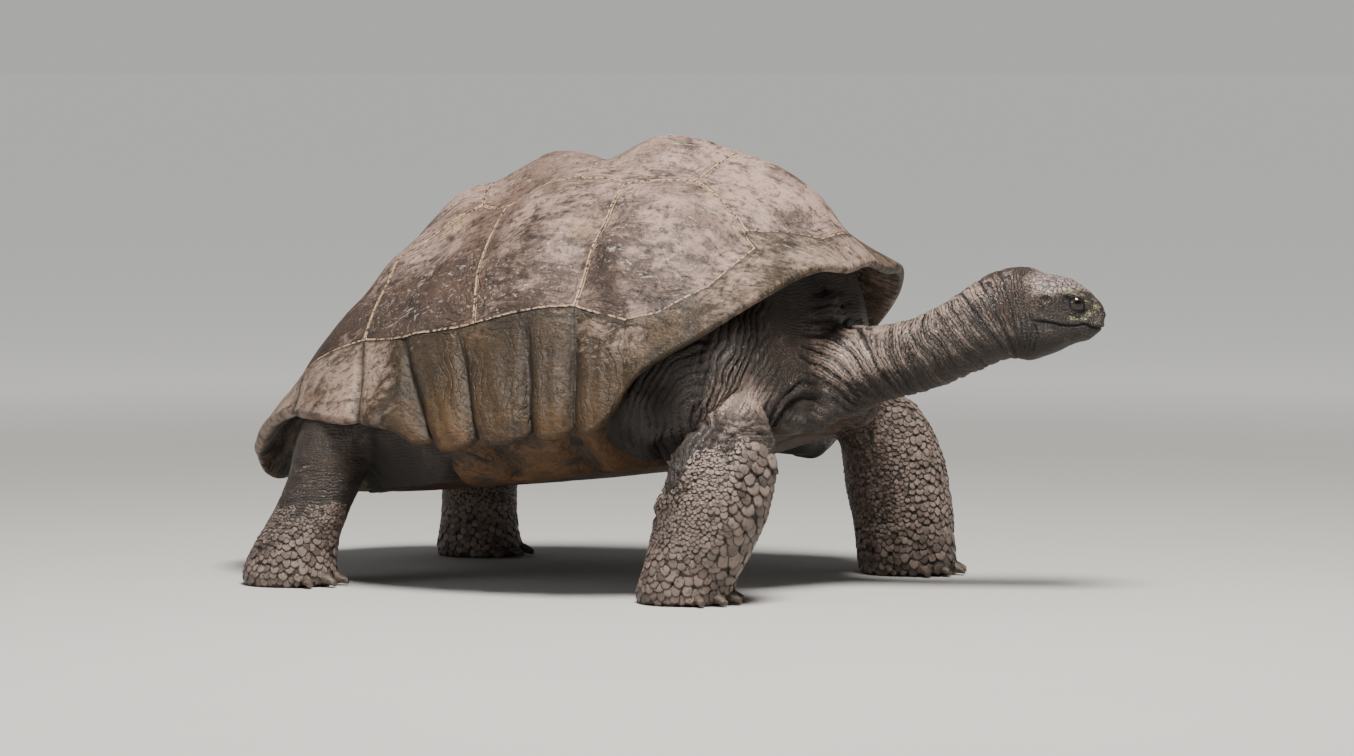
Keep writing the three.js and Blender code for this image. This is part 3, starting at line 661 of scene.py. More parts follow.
def neck_place(p):
    """How far along the neck's line each point is, and its distance from it."""
    line = np.array(NECK_LINE, float)
    seg = np.diff(line, axis=0)
    lengths = np.linalg.norm(seg, axis=1)
    starts = np.concatenate([[0], np.cumsum(lengths)[:-1]])
    best, t_at = np.full(len(p), 1e9), np.zeros(len(p))
    for a, d, length, start in zip(line[:-1], seg, lengths, starts):
        share = np.clip((p - a) @ d / length ** 2, 0, 1)
        dist = np.linalg.norm(p - (a + share[:, None] * d), axis=1)
        near = dist < best
        best, t_at = np.where(near, dist, best), np.where(near, start + share * length, t_at)
    return t_at, best


def above_neck(p):
    """How far each point lies above the neck's line."""
    return p[:, 2] - along([[x, z] for x, _, z in NECK_LINE], p[:, 0])


def leg_place(leg, p):
    """Share of the leg's girth at which each point lies, and its angle from straight ahead."""
    x, y, long, wide = (along(LEGS[leg], p[:, 2], k) for k in (1, 2, 3, 4))
    dx, dy = (p[:, 0] - x) / long, (p[:, 1] - y) / wide
    return np.hypot(dx, dy), np.degrees(np.arctan2(dy, dx))


def head_field(q):
    top, bottom, half, power = (along(HEAD_RINGS, q[:, 0], k) for k in (1, 2, 3, 4))
    high, middle = (top - bottom) / 2, (top + bottom) / 2
    ring = ((np.abs(q[:, 1]) / half) ** power + (np.abs(q[:, 2] - middle) / high) ** power) ** (1 / power)
    body = (ring - 1) * np.minimum(half, high)
    front = q[:, 0] - SNOUT
    both = np.maximum(body, front)
    soft = np.maximum(6 - np.abs(body - front), 0) / 6
    return both + soft * soft * 1.5


def onto_head(q):
    """Moves rows of head millimetres onto the smooth head."""
    for _ in range(5):
        f = head_field(q)
        grad = np.stack([(head_field(q + d) - f) / 0.2 for d in np.eye(3) * 0.2], 1)
        q = q - grad * np.clip(f / np.maximum((grad ** 2).sum(1), 1e-3), -4, 4)[:, None]
    return q


def creases(phase, power=0.55):
    """0 in a sharp crease and 1 on the round ridge between two."""
    return np.abs(np.sin(phase * np.pi)) ** power


def beside_eye(q, slant, shift=0.0):
    """Places along and over the eye, on axes that slant down to the front by the given angle."""
    turn = math.radians(-slant)
    x, z = q[:, 0] - EYE["forward"] + shift, q[:, 2] - EYE["up"]
    return x * math.cos(turn) + z * math.sin(turn), -x * math.sin(turn) + z * math.cos(turn)


def head_relief(q):
    """Lids, brow, mouth, nostrils, eardrum and folds of the head: height in millimetres and how dark the hide
    is painted, from the depth of folds, the dark eardrum and painted shade in the mouth's line, the nostrils
    and round the eye.
    """
    x, y, z = q.T
    side = np.abs(y)
    h, deep = np.zeros((2, len(q)))
    flank = step(14, 26, side)
    along_eye, over_eye = beside_eye(q, 32)
    h += flank * 3.4 * np.exp(-((along_eye + 2) / 21) ** 2 - ((over_eye - 13.5) / 6.0) ** 2)
    h += flank * 1.6 * np.exp(-((along_eye - 3) / 18) ** 2 - ((over_eye + 12.5) / 5) ** 2)
    h -= flank * 1.6 * np.exp(-((along_eye + 20) / 9) ** 2 - (over_eye / 5) ** 2)
    below = z - along(MOUTH, x)
    lip = step(-10, 4, x)
    h -= lip * 4.2 * hump(below, 1.6)
    # the mouth's line is painted dark: partly dark lip and partly painted shade under the beak's edge
    deep += lip * (1.6 * hump(below, 3.0) + 0.6 * hump(below + 5, 4) * step(10, 40, x))
    upper = step(0, -3, -below) * step(-26, -6, below) * step(10, 60, x)
    h += lip * (1.3 * hump(below - 4.5, 4) - 1.6 * upper)
    h += step(60, 90, x) * 1.2 * hump(below - 3, 3.5)
    for k, (at, depth) in enumerate(JAW_FOLDS):
        bow = at - 0.006 * (z + 34) ** 2 + 2.5 * lumps(q, 18, 40 + k)
        fold = hump(x - bow, 1.8) * step(-78, -58, z) * (1 - step(-13, 0, z))
        h -= depth * fold
        deep += fold
    ear = np.hypot((x - 13) / 9.5, (z - 20) / 6.5)
    h += flank * (-1.6 * (1 - step(0.6, 1.1, ear)) + 0.9 * hump(ear - 1.3, 0.25))
    deep += 0.55 * flank * (1 - step(0.5, 1.2, ear))
    h += 1.5 * flank * hump(z - 29 + 0.12 * (x - 20), 3.5) * step(0, 8, x) * (1 - step(38, 48, x))
    nose = np.hypot(np.hypot(x - 103.5, (side - 8) * 1.2), z + 1)
    h -= 3.2 * hump(nose, 3.0)
    # the nostril is painted dark: painted shade in its hole
    deep += hump(nose, 3.0)
    for at, long, depth in EYE_CREASES:
        bow = at - 0.012 * along_eye ** 2 * np.sign(at)
        crease = flank * hump(over_eye - bow, 1.1) * np.exp(-(along_eye / long) ** 4)
        h -= depth * crease
        deep += 0.6 * crease
    # inside the lids and round the eye the hide is painted dark: painted shade in the socket and under the
    # brow, with a dark rim on the lids
    almond = eye_shape(q)
    deep += flank * (1 - step(0.98, 1.1, almond)) + 0.5 * flank * hump(almond - 1.15, 0.14)
    deep += 0.95 * flank * (1 - step(0.75, 1.15, np.hypot(along_eye / 26, over_eye / 11.5)))
    h += 0.8 * lumps(q, 22, 53, 2)
    return h, np.clip(deep, 0, 1)


def eye_shape(q):
    """0 in the middle of the eye's opening and 1 at its edge."""
    a, b = beside_eye(q, 36, 0.5)
    return np.hypot(a / 16.5, b / (9.6 * np.maximum(1 - (a / 22) ** 2, 0.25)))


def eye_patches(q):
    """Where the pale yellow-green patches round the eye lie."""
    share = np.zeros(len(q))
    for x, z, long, high in EYE_PATCHES:
        d = np.hypot((q[:, 0] - x) / long, (q[:, 2] - z) / high) + 0.45 * lumps(q, 6, 71, 2)
        share = np.maximum(share, 1 - step(0.6, 1.2, d))
    return share


def crown(q):
    """1 where the head carries larger scales: on top and on the forehead."""
    rough = 9 * lumps(q, 26, 73, 2)
    return step(18, 40, q[:, 2] - 0.1 * q[:, 0] + 6 + rough) * step(-44, 16, q[:, 0] + rough)


def eye_socket(q):
    """Pulls the skin round each eye onto lids that hug the eyeball, and behind the ball inside them."""
    almond = eye_shape(q)
    for _, side in SIDES:
        centre = np.array((EYE["forward"], side * EYE["deep"], EYE["up"]))
        out = q - centre
        dist = np.linalg.norm(out, axis=1)
        facing = step(-2, 6, side * out[:, 1])
        ball = EYE["ball"]
        target = np.where(almond < 1, ball - 4.5 + 6.7 * step(0.84, 1.0, almond),
                          ball + 2.2 - 0.5 * step(1.0, 1.3, almond))
        keep = np.clip(step(1.15, 1.7, almond) + (1 - facing), 0, 1)
        new = dist * keep + target * (1 - keep)
        q = np.where((dist < 44)[:, None], centre + out / np.maximum(dist, 1e-6)[:, None] * new[:, None], q)
    return q


def ahead_on_head(m):
    return world_to_head(stance_to_world(m))[:, 0]


def skin_bmesh():
    """The skin's plain mesh, coarse where the shell hides it and fine on head, neck and near shoulder."""
    bm = flesh_base()
    flat = places(bm)[:, 2] < 0.004
    relax(bm, bm.verts[:], 8)
    for v, level in zip(bm.verts, flat):
        if level:
            v.co.z = 0
    unseen = [f for f in bm.faces if hidden_cut(f)]
    bmesh.ops.dissolve_limit(bm, angle_limit=0.2, verts=once(v for f in unseen for v in f.verts),
                             edges=once(e for f in unseen for e in f.edges), use_dissolve_boundaries=False,
                             delimit=set())
    refine(bm, lambda m: (ahead_on_head(m) > -48) | on_neck(m) | near_shoulder(m))
    refine(bm, lambda m: ahead_on_head(m) > -28)
    refine(bm, near_eye)
    return bm


def on_neck(m):
    return (neck_place(m)[1] < 125) & (m[:, 0] > 455)


def near_eye(m):
    middle, reach = (61, 11), 26
    return np.hypot(*(world_to_head(stance_to_world(m))[:, [0, 2]] - middle).T) < reach


def near_shoulder(m):
    leg, _ = leg_place("foreleg_right", m)
    inside = world_to_shell(stance_to_world(m))
    seen = (inside[:, 2] < 30) | (inside[:, 0] > 230)
    low, high = NEAR_SHOULDER
    return (((m > low) & (m < high)).all(1) & seen) | ((leg < 1.3) & (m[:, 2] > 170) & (m[:, 1] < -150))


def hidden_cut(face):
    """Whether a face lies on the cuts inside the shell, high behind the rim or over the belly plates."""
    x, y, z = world_to_shell(np.array([face.calc_center_median()]))[0]
    over_belly = z < -55 and abs(y) < 140 and abs(x) < 260
    behind_rim = z > 25 and -240 < x < 90
    on_roof = abs(z - TRUNK_ROOF) < 3 and x < TRUNK_SPLIT - 4
    on_split = abs(x - TRUNK_SPLIT) < 3 and z > TRUNK_ROOF + 6
    return on_roof or on_split or behind_rim or over_belly


def sculpt(bm, height):
    """Raises every vertex along its own normal by millimetres of height."""
    bm.normal_update()
    normals = np.array([v.normal for v in bm.verts])
    set_places(bm, places(bm) + normals * (height / 1000)[:, None])


def shoulder_place(p):
    """Places on the plane that faces outward and forward at the near shoulder: to the front, and up."""
    return 0.906 * p[:, 0] + 0.423 * p[:, 1], 0.998 * p[:, 2] - 0.0256 * p[:, 0] + 0.0549 * p[:, 1]


def blend(old, new, share):
    return old * (1 - share) + share * new


def body_relief(p):
    """Folds of neck, shoulders and legs: height in millimetres, depth of fold, which the hide paints as
    shade, and count of wrinkles.
    """
    h = 1.8 * lumps(p, 70, 61, 2) + 0.7 * lumps(p, 22, 67)
    deep = np.zeros(len(p))
    near = 1 - step(-150, -60, p[:, 1])
    # rings of the neck, which lean more and more towards the shoulder
    t, away = neck_place(p)
    neck = step(30, 90, t) * (1 - step(455, 490, t)) * (away < 150)
    drift = 11 * lumps(p, 75, 62, 2) + 4 * lumps(p, 24, 63)
    lean = above_neck(p) * (0.15 + 0.95 * (1 - step(90, 250, t)))
    line = (t + drift + lean) / 12.5
    coarse, ring = creases(line * 0.47 + 0.3 * lumps(p, 45, 60), 0.45), creases(line, 0.5)
    strong = (2.0 + 1.9 * (1 - step(150, 300, t))) * (1 + 0.6 * lumps(p, 38, 68))
    h += neck * (strong * (ring - 0.75) + 1.5 * strong * (coarse - 0.8))
    deep += neck * (0.75 * (1 - ring) ** 1.5 + 0.9 * (1 - coarse) ** 1.5)
    # the stretched web of skin that runs from the shell's edge down to the back of the near foreleg
    ahead, up = shoulder_place(p)
    middle, half = along(WEB, up, 1), along(WEB, up, 2)
    e = (ahead - middle) / half
    web = near * (1 - step(0.8, 1.35, np.abs(e))) * step(120, 170, up) * (1 - step(470, 500, up))
    web_line = e * 3.4 + 1.0 * lumps(p, 60, 69, 2) + 0.3 * lumps(p, 16, 59)
    folds = creases(web_line, 0.5)
    lifted = step(130, 200, up) * (1 - step(420, 480, up))
    h += near * lifted * (22 * np.exp(-(e / 0.95) ** 2) - 20 * np.exp(-((e + 2.3) / 1.0) ** 2))
    h += web * (9.0 * (1 + 0.5 * lumps(p, 40, 58)) * (folds - 0.7) - neck * strong * (ring - 0.75))
    deep, line = blend(deep, 0.12 + 1.3 * (1 - folds) ** 1.2, web), blend(line, web_line, web)
    # slack arcs in the hollow behind the web
    bow = np.hypot((ahead - 226) / 66, (up - 262) / 96)
    pit = near * step(0.35, 0.9, -e - 0.1) * (1 - step(1.9, 2.5, bow)) * (1 - step(430, 480, up))
    bow_line = bow * 4.2 + 1.5 * lumps(p, 75, 70, 2) + 0.35 * lumps(p, 22, 57)
    arcs = creases(bow_line, 0.45)
    h += pit * 6.5 * (1 + 0.9 * lumps(p, 35, 56)) * (arcs - 0.7)
    deep, line = blend(deep, 0.35 + 0.8 * (1 - arcs) ** 1.2, pit), blend(line, bow_line, pit)
    # slack folds between the web and the root of the neck
    fan = near * step(0.9, 1.5, e) * (1 - step(70, 110, t)) * step(250, 300, up) * (1 - step(450, 490, up))
    fan_line = (ahead - 0.55 * up) / 13 + 0.9 * lumps(p, 50, 55, 2)
    fans = creases(fan_line, 0.5)
    h += fan * 4.5 * (1 + 0.6 * lumps(p, 30, 52)) * (fans - 0.7)
    deep, line = blend(deep, 0.15 + 1.1 * (1 - fans) ** 1.2, fan), blend(line, fan_line, fan)
    # the knob over the root of the neck, and the smooth pocket under it
    h += 17 * spot(p, (486, -8, 492), (22, 30, 20))
    ball = np.linalg.norm((p - (494, -96, 304)) / (1, 1.2, 0.8), axis=1) + 5 * lumps(p, 30, 54, 2)
    over = up - along(POCKET_FOLD, ahead) + 3 * lumps(p, 24, 51)
    inner = step(-225, -175, p[:, 1]) * near * step(330, 350, ahead) * (1 - step(450, 480, ahead))
    tuck = hump(over, 5) + 0.7 * hump(over - 21, 4)
    h += 9 * hump(ball, 26) + inner * (6 * hump(over - 11, 6) + 3 * hump(over - 30, 6) - 8 * tuck)
    deep += (1 - deep) * np.clip(tuck * inner, 0, 1)
    # the arched fold under the cap of the near foreleg
    arch = np.hypot((ahead - 306) / 44, (up - 214) / 46)
    arched = near * step(190, 215, up) * step(250, 275, ahead)
    h += arched * (4.0 * hump(arch - 0.82, 0.13) - 6.0 * hump(arch - 1.0, 0.07)
                   + 3.0 * hump(arch - 1.16, 0.1))
    deep += arched * 1.2 * hump(arch - 1.0, 0.08)
    for leg in LEGS:
        share, _ = leg_place(leg, p)
        on = (1 - step(1.12, 1.4, share)) * step(2, 14, p[:, 2])
        on = on * (1 - step(290, 335, p[:, 2])) * (1 - web)
        rows_line = (p[:, 2] + 8 * lumps(p, 50, 65, 2) + 3 * lumps(p, 16, 66)) / 11
        rows = creases(rows_line)
        h -= on * (1.7 * (1 - rows))
        deep, line = blend(deep, 0.8 * (1 - rows), on), blend(line, rows_line, on)
    # no painted crease shade on the cap of the near foreleg
    cap = spot(p, (452, -268, 335), (60, 70, 40))
    return h, np.clip(deep * (1 - cap), 0, 1), line


def worn_and_sheen_places(p):
    """1 in the middle of each worn place and 0 far from it; its pale is partly wear and partly painted
    highlight.
    """
    share = np.zeros(len(p))
    for at, reach in WORN:
        share = np.maximum(share, spot(p, at, reach))
    return share


def shade_of_head(q):
    """1 close round the eyes, where dark skin meets the painted shadow under the brow, and darker a little
    under the jaw.
    """
    almond = eye_shape(q)
    round_eye = step(14, 26, np.abs(q[:, 1])) * (1 - step(1.15, 1.75, almond + 0.3 * lumps(q, 7, 75, 2)))
    return np.maximum(0.85 * round_eye, 0.55 * (1 - step(-58, -20, q[:, 2])))


def shade_under_shell(p):
    """1 on hide deep inside the shell, in the pit behind the near foreleg, under the roof of the front
    opening and partly under the neck, 0 where daylight reaches it: painted shade.
    """
    q = world_to_shell(stance_to_world(p))
    deg = np.degrees(np.arctan2(q[:, 1], q[:, 0] - SHELL["hub_x"]))
    reach = np.hypot(q[:, 0] - SHELL["hub_x"], q[:, 1]) / outline(deg)
    inside = (1 - step(0.86, 1.0, reach)) * step(-120, -95, q[:, 2]) * (1 - step(330, 420, q[:, 0]))
    for leg in HINDLEGS:
        off_leg = step(0.95, 1.35, leg_place(leg, p)[0])
        inside *= off_leg + 0.5 * (1 - off_leg)
    ahead, up = shoulder_place(p)
    pit = np.exp(-(np.hypot((ahead - 135) / 85, (up - 250) / 88)) ** 4) * (1 - step(-200, -120, p[:, 1]))
    roof = 0.8 * step(435, 495, p[:, 2]) * (1 - step(500, 560, p[:, 0]))
    t, _ = neck_place(p)
    under = 0.42 * step(6, 48, 6 * lumps(p, 40, 76) - above_neck(p)) * step(40, 110, t) * (p[:, 0] > 540)
    return np.max([inside, pit, roof, under], 0)


def fill_armpits(bm):
    """Draws the hide out and down where it has to close the shell's openings round the legs."""
    p = world_to_stance(places(bm))
    # behind the forelegs, over the sides of the belly plates
    side = np.abs(p[:, 1])
    w = np.exp(-((p[:, 0] - 340) / 58) ** 2 - ((p[:, 2] - 235) / 60) ** 2) * step(120, 230, side)
    p[:, 1] += np.sign(p[:, 1]) * 60 * w
    p[:, 2] -= 34 * w
    # between the hindlegs the hide comes down onto the belly plates
    q = world_to_shell(stance_to_world(p))
    low = step(10, -45, q[:, 2]) * step(-400, -330, q[:, 0]) * (1 - step(-60, -20, q[:, 0]))
    for leg in HINDLEGS:
        low *= step(1.0, 1.5, leg_place(leg, p)[0])
    q[:, 2] = np.maximum(q[:, 2] - 44 * low, np.minimum(q[:, 2], -76))
    p = world_to_stance(shell_to_world(q))
    # in front of the forelegs, beside the root of the neck
    side = np.abs(p[:, 1])
    w = np.exp(-((p[:, 0] - 495) / 70) ** 2 - ((p[:, 2] - 300) / 42) ** 2 - ((side - 120) / 85) ** 2)
    p += np.stack([34 * w, np.sign(p[:, 1]) * 26 * w, -30 * w], 1)
    set_places(bm, stance_to_world(p))


def build_skin():
    """The finished skin and the values of its vertices that the hide's material reads."""
    bm = skin_bmesh()
    fill_armpits(bm)
    q = world_to_head(places(bm))
    weight = step(*HEAD_SHARE, q[:, 0])
    q = q + (onto_head(q) - q) * weight[:, None]
    set_places(bm, head_to_world(q))
    p = world_to_stance(places(bm))
    head_height, head_deep = head_relief(q)
    body_height, body_deep, line = body_relief(p)
    values = {"fold": 1 - (head_deep * weight + body_deep * (1 - weight)), "pale": eye_patches(q) * weight,
              "dark": np.maximum(shade_under_shell(p), shade_of_head(q) * weight), "line": line,
              "lined": 1 - weight, "worn": worn_and_sheen_places(p), "plates": crown(q) * weight, "head": weight}
    sculpt(bm, head_height * weight + body_height * (1 - weight))
    q = world_to_head(places(bm))
    q = q + (eye_socket(q) - q) * weight[:, None]
    final = head_to_world(q)
    final[:, 2] = np.maximum(final[:, 2], 0.0)
    set_places(bm, final)
    return bm, values


# ------------------------------------------------------------------ scales, claws and eyes
def scale_size(leg, p, around):
    """Half width of a scale in millimetres at points of a leg, 0 where the skin is bare."""
    up = p[:, 2]
    turned = (around + 180) % 360 - 180
    foot = 1 - step(50, 120, up)
    if leg == "foreleg_right":
        ahead, high = shoulder_place(p)
        front = np.exp(-(np.abs(turned + 12) / 42) ** 4)
        size = 4.0 + 7.0 * front * step(30, 90, up) + 4.5 * foot * (1 - step(120, 160, np.abs(turned)))
        top = 232 + (14 - 0.02 * (ahead - 306) ** 2) * step(255, 275, ahead)
        size = size * (1 - 0.4 * step(180, 236, high) * (1 - front))
        bare = high > top + (4 + 12 * (1 - front)) * lumps(p, 18, 80, 2)
    elif leg == "foreleg_left":
        size = 4.2 + 3.2 * np.exp(-(np.abs(turned - 10) / 62) ** 4) + 3.0 * foot
        bare = up > 312 + 12 * lumps(p, 30, 80)
    else:
        size = (4.2 + 3.3 * foot) * (1 - 0.45 * step(80, 145, up))
        bare = up > 138 + 32 * lumps(p, 20, 80, 2)
    return size * ~bare * (1 + 0.3 * lumps(p, 38, 82, 2))


def spread_roots(leg, p, normals, rng):
    """Picks the root points of a leg's scales from candidates, each clear of the ones picked before."""
    share, around = leg_place(leg, p)
    size = scale_size(leg, p, around) * (share < 1.25) * (p[:, 2] > 7)
    order = rng.permutation(np.flatnonzero(size > 0))
    cell, taken, kept = 14.0, {}, []  # roots are looked up by cubes of this side
    for i in order:
        key = tuple(np.floor(p[i] / cell).astype(int))
        near = [j for dx in (-1, 0, 1) for dy in (-1, 0, 1) for dz in (-1, 0, 1)
                for j in taken.get((key[0] + dx, key[1] + dy, key[2] + dz), ())]
        if near:
            gap = np.linalg.norm(p[near] - p[i], axis=1)
            if (gap < SCALE_SPACING * (size[near] + size[i])).any():
                continue
        taken.setdefault(key, []).append(i)
        kept.append(i)
    kept = np.array(kept)
    return p[kept], normals[kept], size[kept], around[kept]


def leg_surface(leg, skin):
    """Places and normals of the skin's vertices, and the triangles round one leg."""
    mesh = skin.data
    mesh.calc_loop_triangles()
    co, no = world_to_stance(read(mesh.vertices, "co", 3)), read(mesh.vertices, "normal", 3)
    tri = read(mesh.loop_triangles, "vertices", 3, np.int32)
    middle = co[tri].mean(1)
    share, _ = leg_place(leg, middle)
    return co, no, tri[(share < 1.3) & (middle[:, 2] < 350)]


def scatter(leg, skin, rng):
    """Random points all over one leg, with the skin's normals."""
    co, no, tri = leg_surface(leg, skin)
    a, b, c = (co[tri[:, k]] for k in range(3))
    area = np.linalg.norm(np.cross(b - a, c - a), axis=1)
    pick = rng.choice(len(tri), SCALE_TRIES, p=area / area.sum())
    w = rng.dirichlet((1, 1, 1), SCALE_TRIES)
    points = (co[tri[pick]] * w[:, :, None]).sum(1)
    return points, unit((no[tri[pick]] * w[:, :, None]).sum(1))


def scale_shapes(ball, size, rng):
    """For each vertex of every scale, how far it lies down the leg, across it and off the hide."""
    count, x, y, z = len(size), *ball.T
    jitter = 1 + 0.13 * rng.uniform(-1, 1, (count, SCALE_SIDES))
    which = np.rint((np.arctan2(y, x) + np.pi) / (2 * np.pi) * SCALE_SIDES).astype(int) % SCALE_SIDES
    reach = size[:, None] * jitter[:, which]
    squat = rng.uniform(0.9, 1.2, (count, 1))
    thick = 0.052 * size[:, None] ** 1.7 * rng.uniform(0.7, 1.3, (count, 1))
    tilt = np.radians(rng.uniform(4, 12, (count, 1)))
    down, across = x * reach * 1.3 * squat, y * reach * 1.3 / squat
    off = np.sign(z) * np.abs(z) ** 0.55 * thick + down * np.sin(tilt) - 0.05 * size[:, None]
    return down[..., None], across[..., None], off[..., None]


def bake_map(obj, index, ball, around, height):
    """The OFBake map: a quarter of it for each leg, and in it a small patch for every scale."""
    layer = obj.data.uv_layers.new(name="OFBake")
    margin, patch, top = 0.02, 0.0015, 360
    root_u = (index + margin + (1 - 2 * margin) * ((around + 180) / 360)) / len(LEGS)
    root_v = margin + (1 - 2 * margin) * height / top
    uv = np.stack([root_u[:, None] + patch * ball[:, 0], root_v[:, None] + patch * ball[:, 1]], 2)
    corners = read(obj.data.loops, "vertex_index", 1, np.int32)[:, 0]
    layer.data.foreach_set("uv", uv.reshape(-1, 2)[corners].ravel())


def leg_scales(index, leg, skin):
    """The horny scales of one leg, lying down towards the foot."""
    rng = np.random.default_rng(100 + index)
    roots, normals, size, around = spread_roots(leg, *scatter(leg, skin, rng), rng)
    down = unit(np.array((0, 0, -1.0)) - normals * -normals[:, 2:3])
    across = np.cross(down, normals)
    template = bmesh.new()
    bmesh.ops.create_uvsphere(template, u_segments=SCALE_SIDES, v_segments=5, radius=1.0)
    ball = places(template)
    far_down, far_across, far_off = scale_shapes(ball, size, rng)
    at = (roots[:, None, :] + far_down * down[:, None, :] + far_across * across[:, None, :]
          + far_off * normals[:, None, :])
    at[:, :, 2] = np.maximum(at[:, :, 2], 0.3)
    obj = many(f"{leg}_scales", template, stance_to_world(at))
    bake_map(obj, index, ball, around, roots[:, 2])
    pale = 0.45 * (leg == "foreleg_right") * (1 - step(5.5, 8, size))
    point_value(obj, "tint", np.repeat(rng.uniform(0, 1, len(roots)) + pale, len(ball)))
    rim = np.clip((1 - np.hypot(ball[:, 0], ball[:, 1])) * 1.6, 0, 1)
    point_value(obj, "rim", np.tile(rim, len(roots)))
    return obj


def claw_bmesh(leg):
    """The blunt nails of one foot, each a flattened horn that curves down to the floor."""
    bm = bmesh.new()
    _, x0, y0, long, wide = LEGS[leg][0]
    for degrees, size in CLAWS[leg[:4]]:
        part = bmesh.new()
        bmesh.ops.create_cone(part, cap_ends=True, segments=20, radius1=1, radius2=1, depth=1)
        sides = [e for e in part.edges if abs(e.verts[0].co.z - e.verts[1].co.z) > 0.5]
        bmesh.ops.subdivide_edges(part, edges=sides, cuts=9)
        caps = [f for f in part.faces if abs(f.normal.z) > 0.9]
        bmesh.ops.inset_region(part, faces=caps, thickness=0.55, depth=0)
        p = places(part)
        t = p[:, 2] + 0.5
        a = math.radians(degrees)
        out, over = np.array((math.cos(a), math.sin(a), 0)), np.array((-math.sin(a), math.cos(a), 0))
        girth = (1 - 0.55 * t ** 1.8) * size
        reach = (t - 0.3) * 44 * size
        lift = 17 * size * (1 - t ** 1.7 * 0.66)
        ridge = 1 + 0.12 * p[:, 1].clip(0)
        root = np.array((x0 + (long - 1) * math.cos(a), y0 + (wide - 1) * math.sin(a), 0))
        at = root + out * reach[:, None] + over * (p[:, 0] * 12.5 * girth)[:, None]
        at[:, 2] = np.maximum(lift + p[:, 1] * 10 * girth * ridge, 0.4)
        set_places(part, stance_to_world(at))
        bmesh.ops.recalc_face_normals(part, faces=part.faces[:])
        join(bm, part)
    return bm


def eye_bmesh(side):
    """An eyeball with a low clear bulge over the iris, and each vertex's angle from the line of sight."""
    bm = bmesh.new()
    bmesh.ops.create_uvsphere(bm, u_segments=48, v_segments=36, radius=EYE["ball"])
    p = places(bm)
    tilt = np.degrees(np.arccos(np.clip(p[:, 2] / EYE["ball"], -1, 1)))
    p = p * (1 + EYE["bulge"] * hump(tilt, EYE["bulge_angle"]))[:, None]
    gaze = Vector((0.30, side * 0.94, 0.05)).normalized()
    turn = np.array(Vector((0, 0, 1)).rotation_difference(gaze).to_matrix())
    at = p @ turn.T + np.array((EYE["forward"], side * EYE["deep"], EYE["up"]))
    set_places(bm, head_to_world(at))
    bmesh.ops.recalc_face_normals(bm, faces=bm.faces[:])
    return bm, tilt


# ------------------------------------------------------------------ material tools
class Wire:
    """A node's output; adding to it, subtracting and multiplying add Math nodes."""

    def __init__(self, paint, socket):
        self.paint, self.socket = paint, socket

    def __add__(self, other):
        return self.paint.math("ADD", self, other)

    def __sub__(self, other):
        return self.paint.math("SUBTRACT", self, other)

    def __rsub__(self, other):
        return self.paint.math("SUBTRACT", other, self)

    def __mul__(self, other):
        return self.paint.math("MULTIPLY", self, other)

    __radd__ = __add__


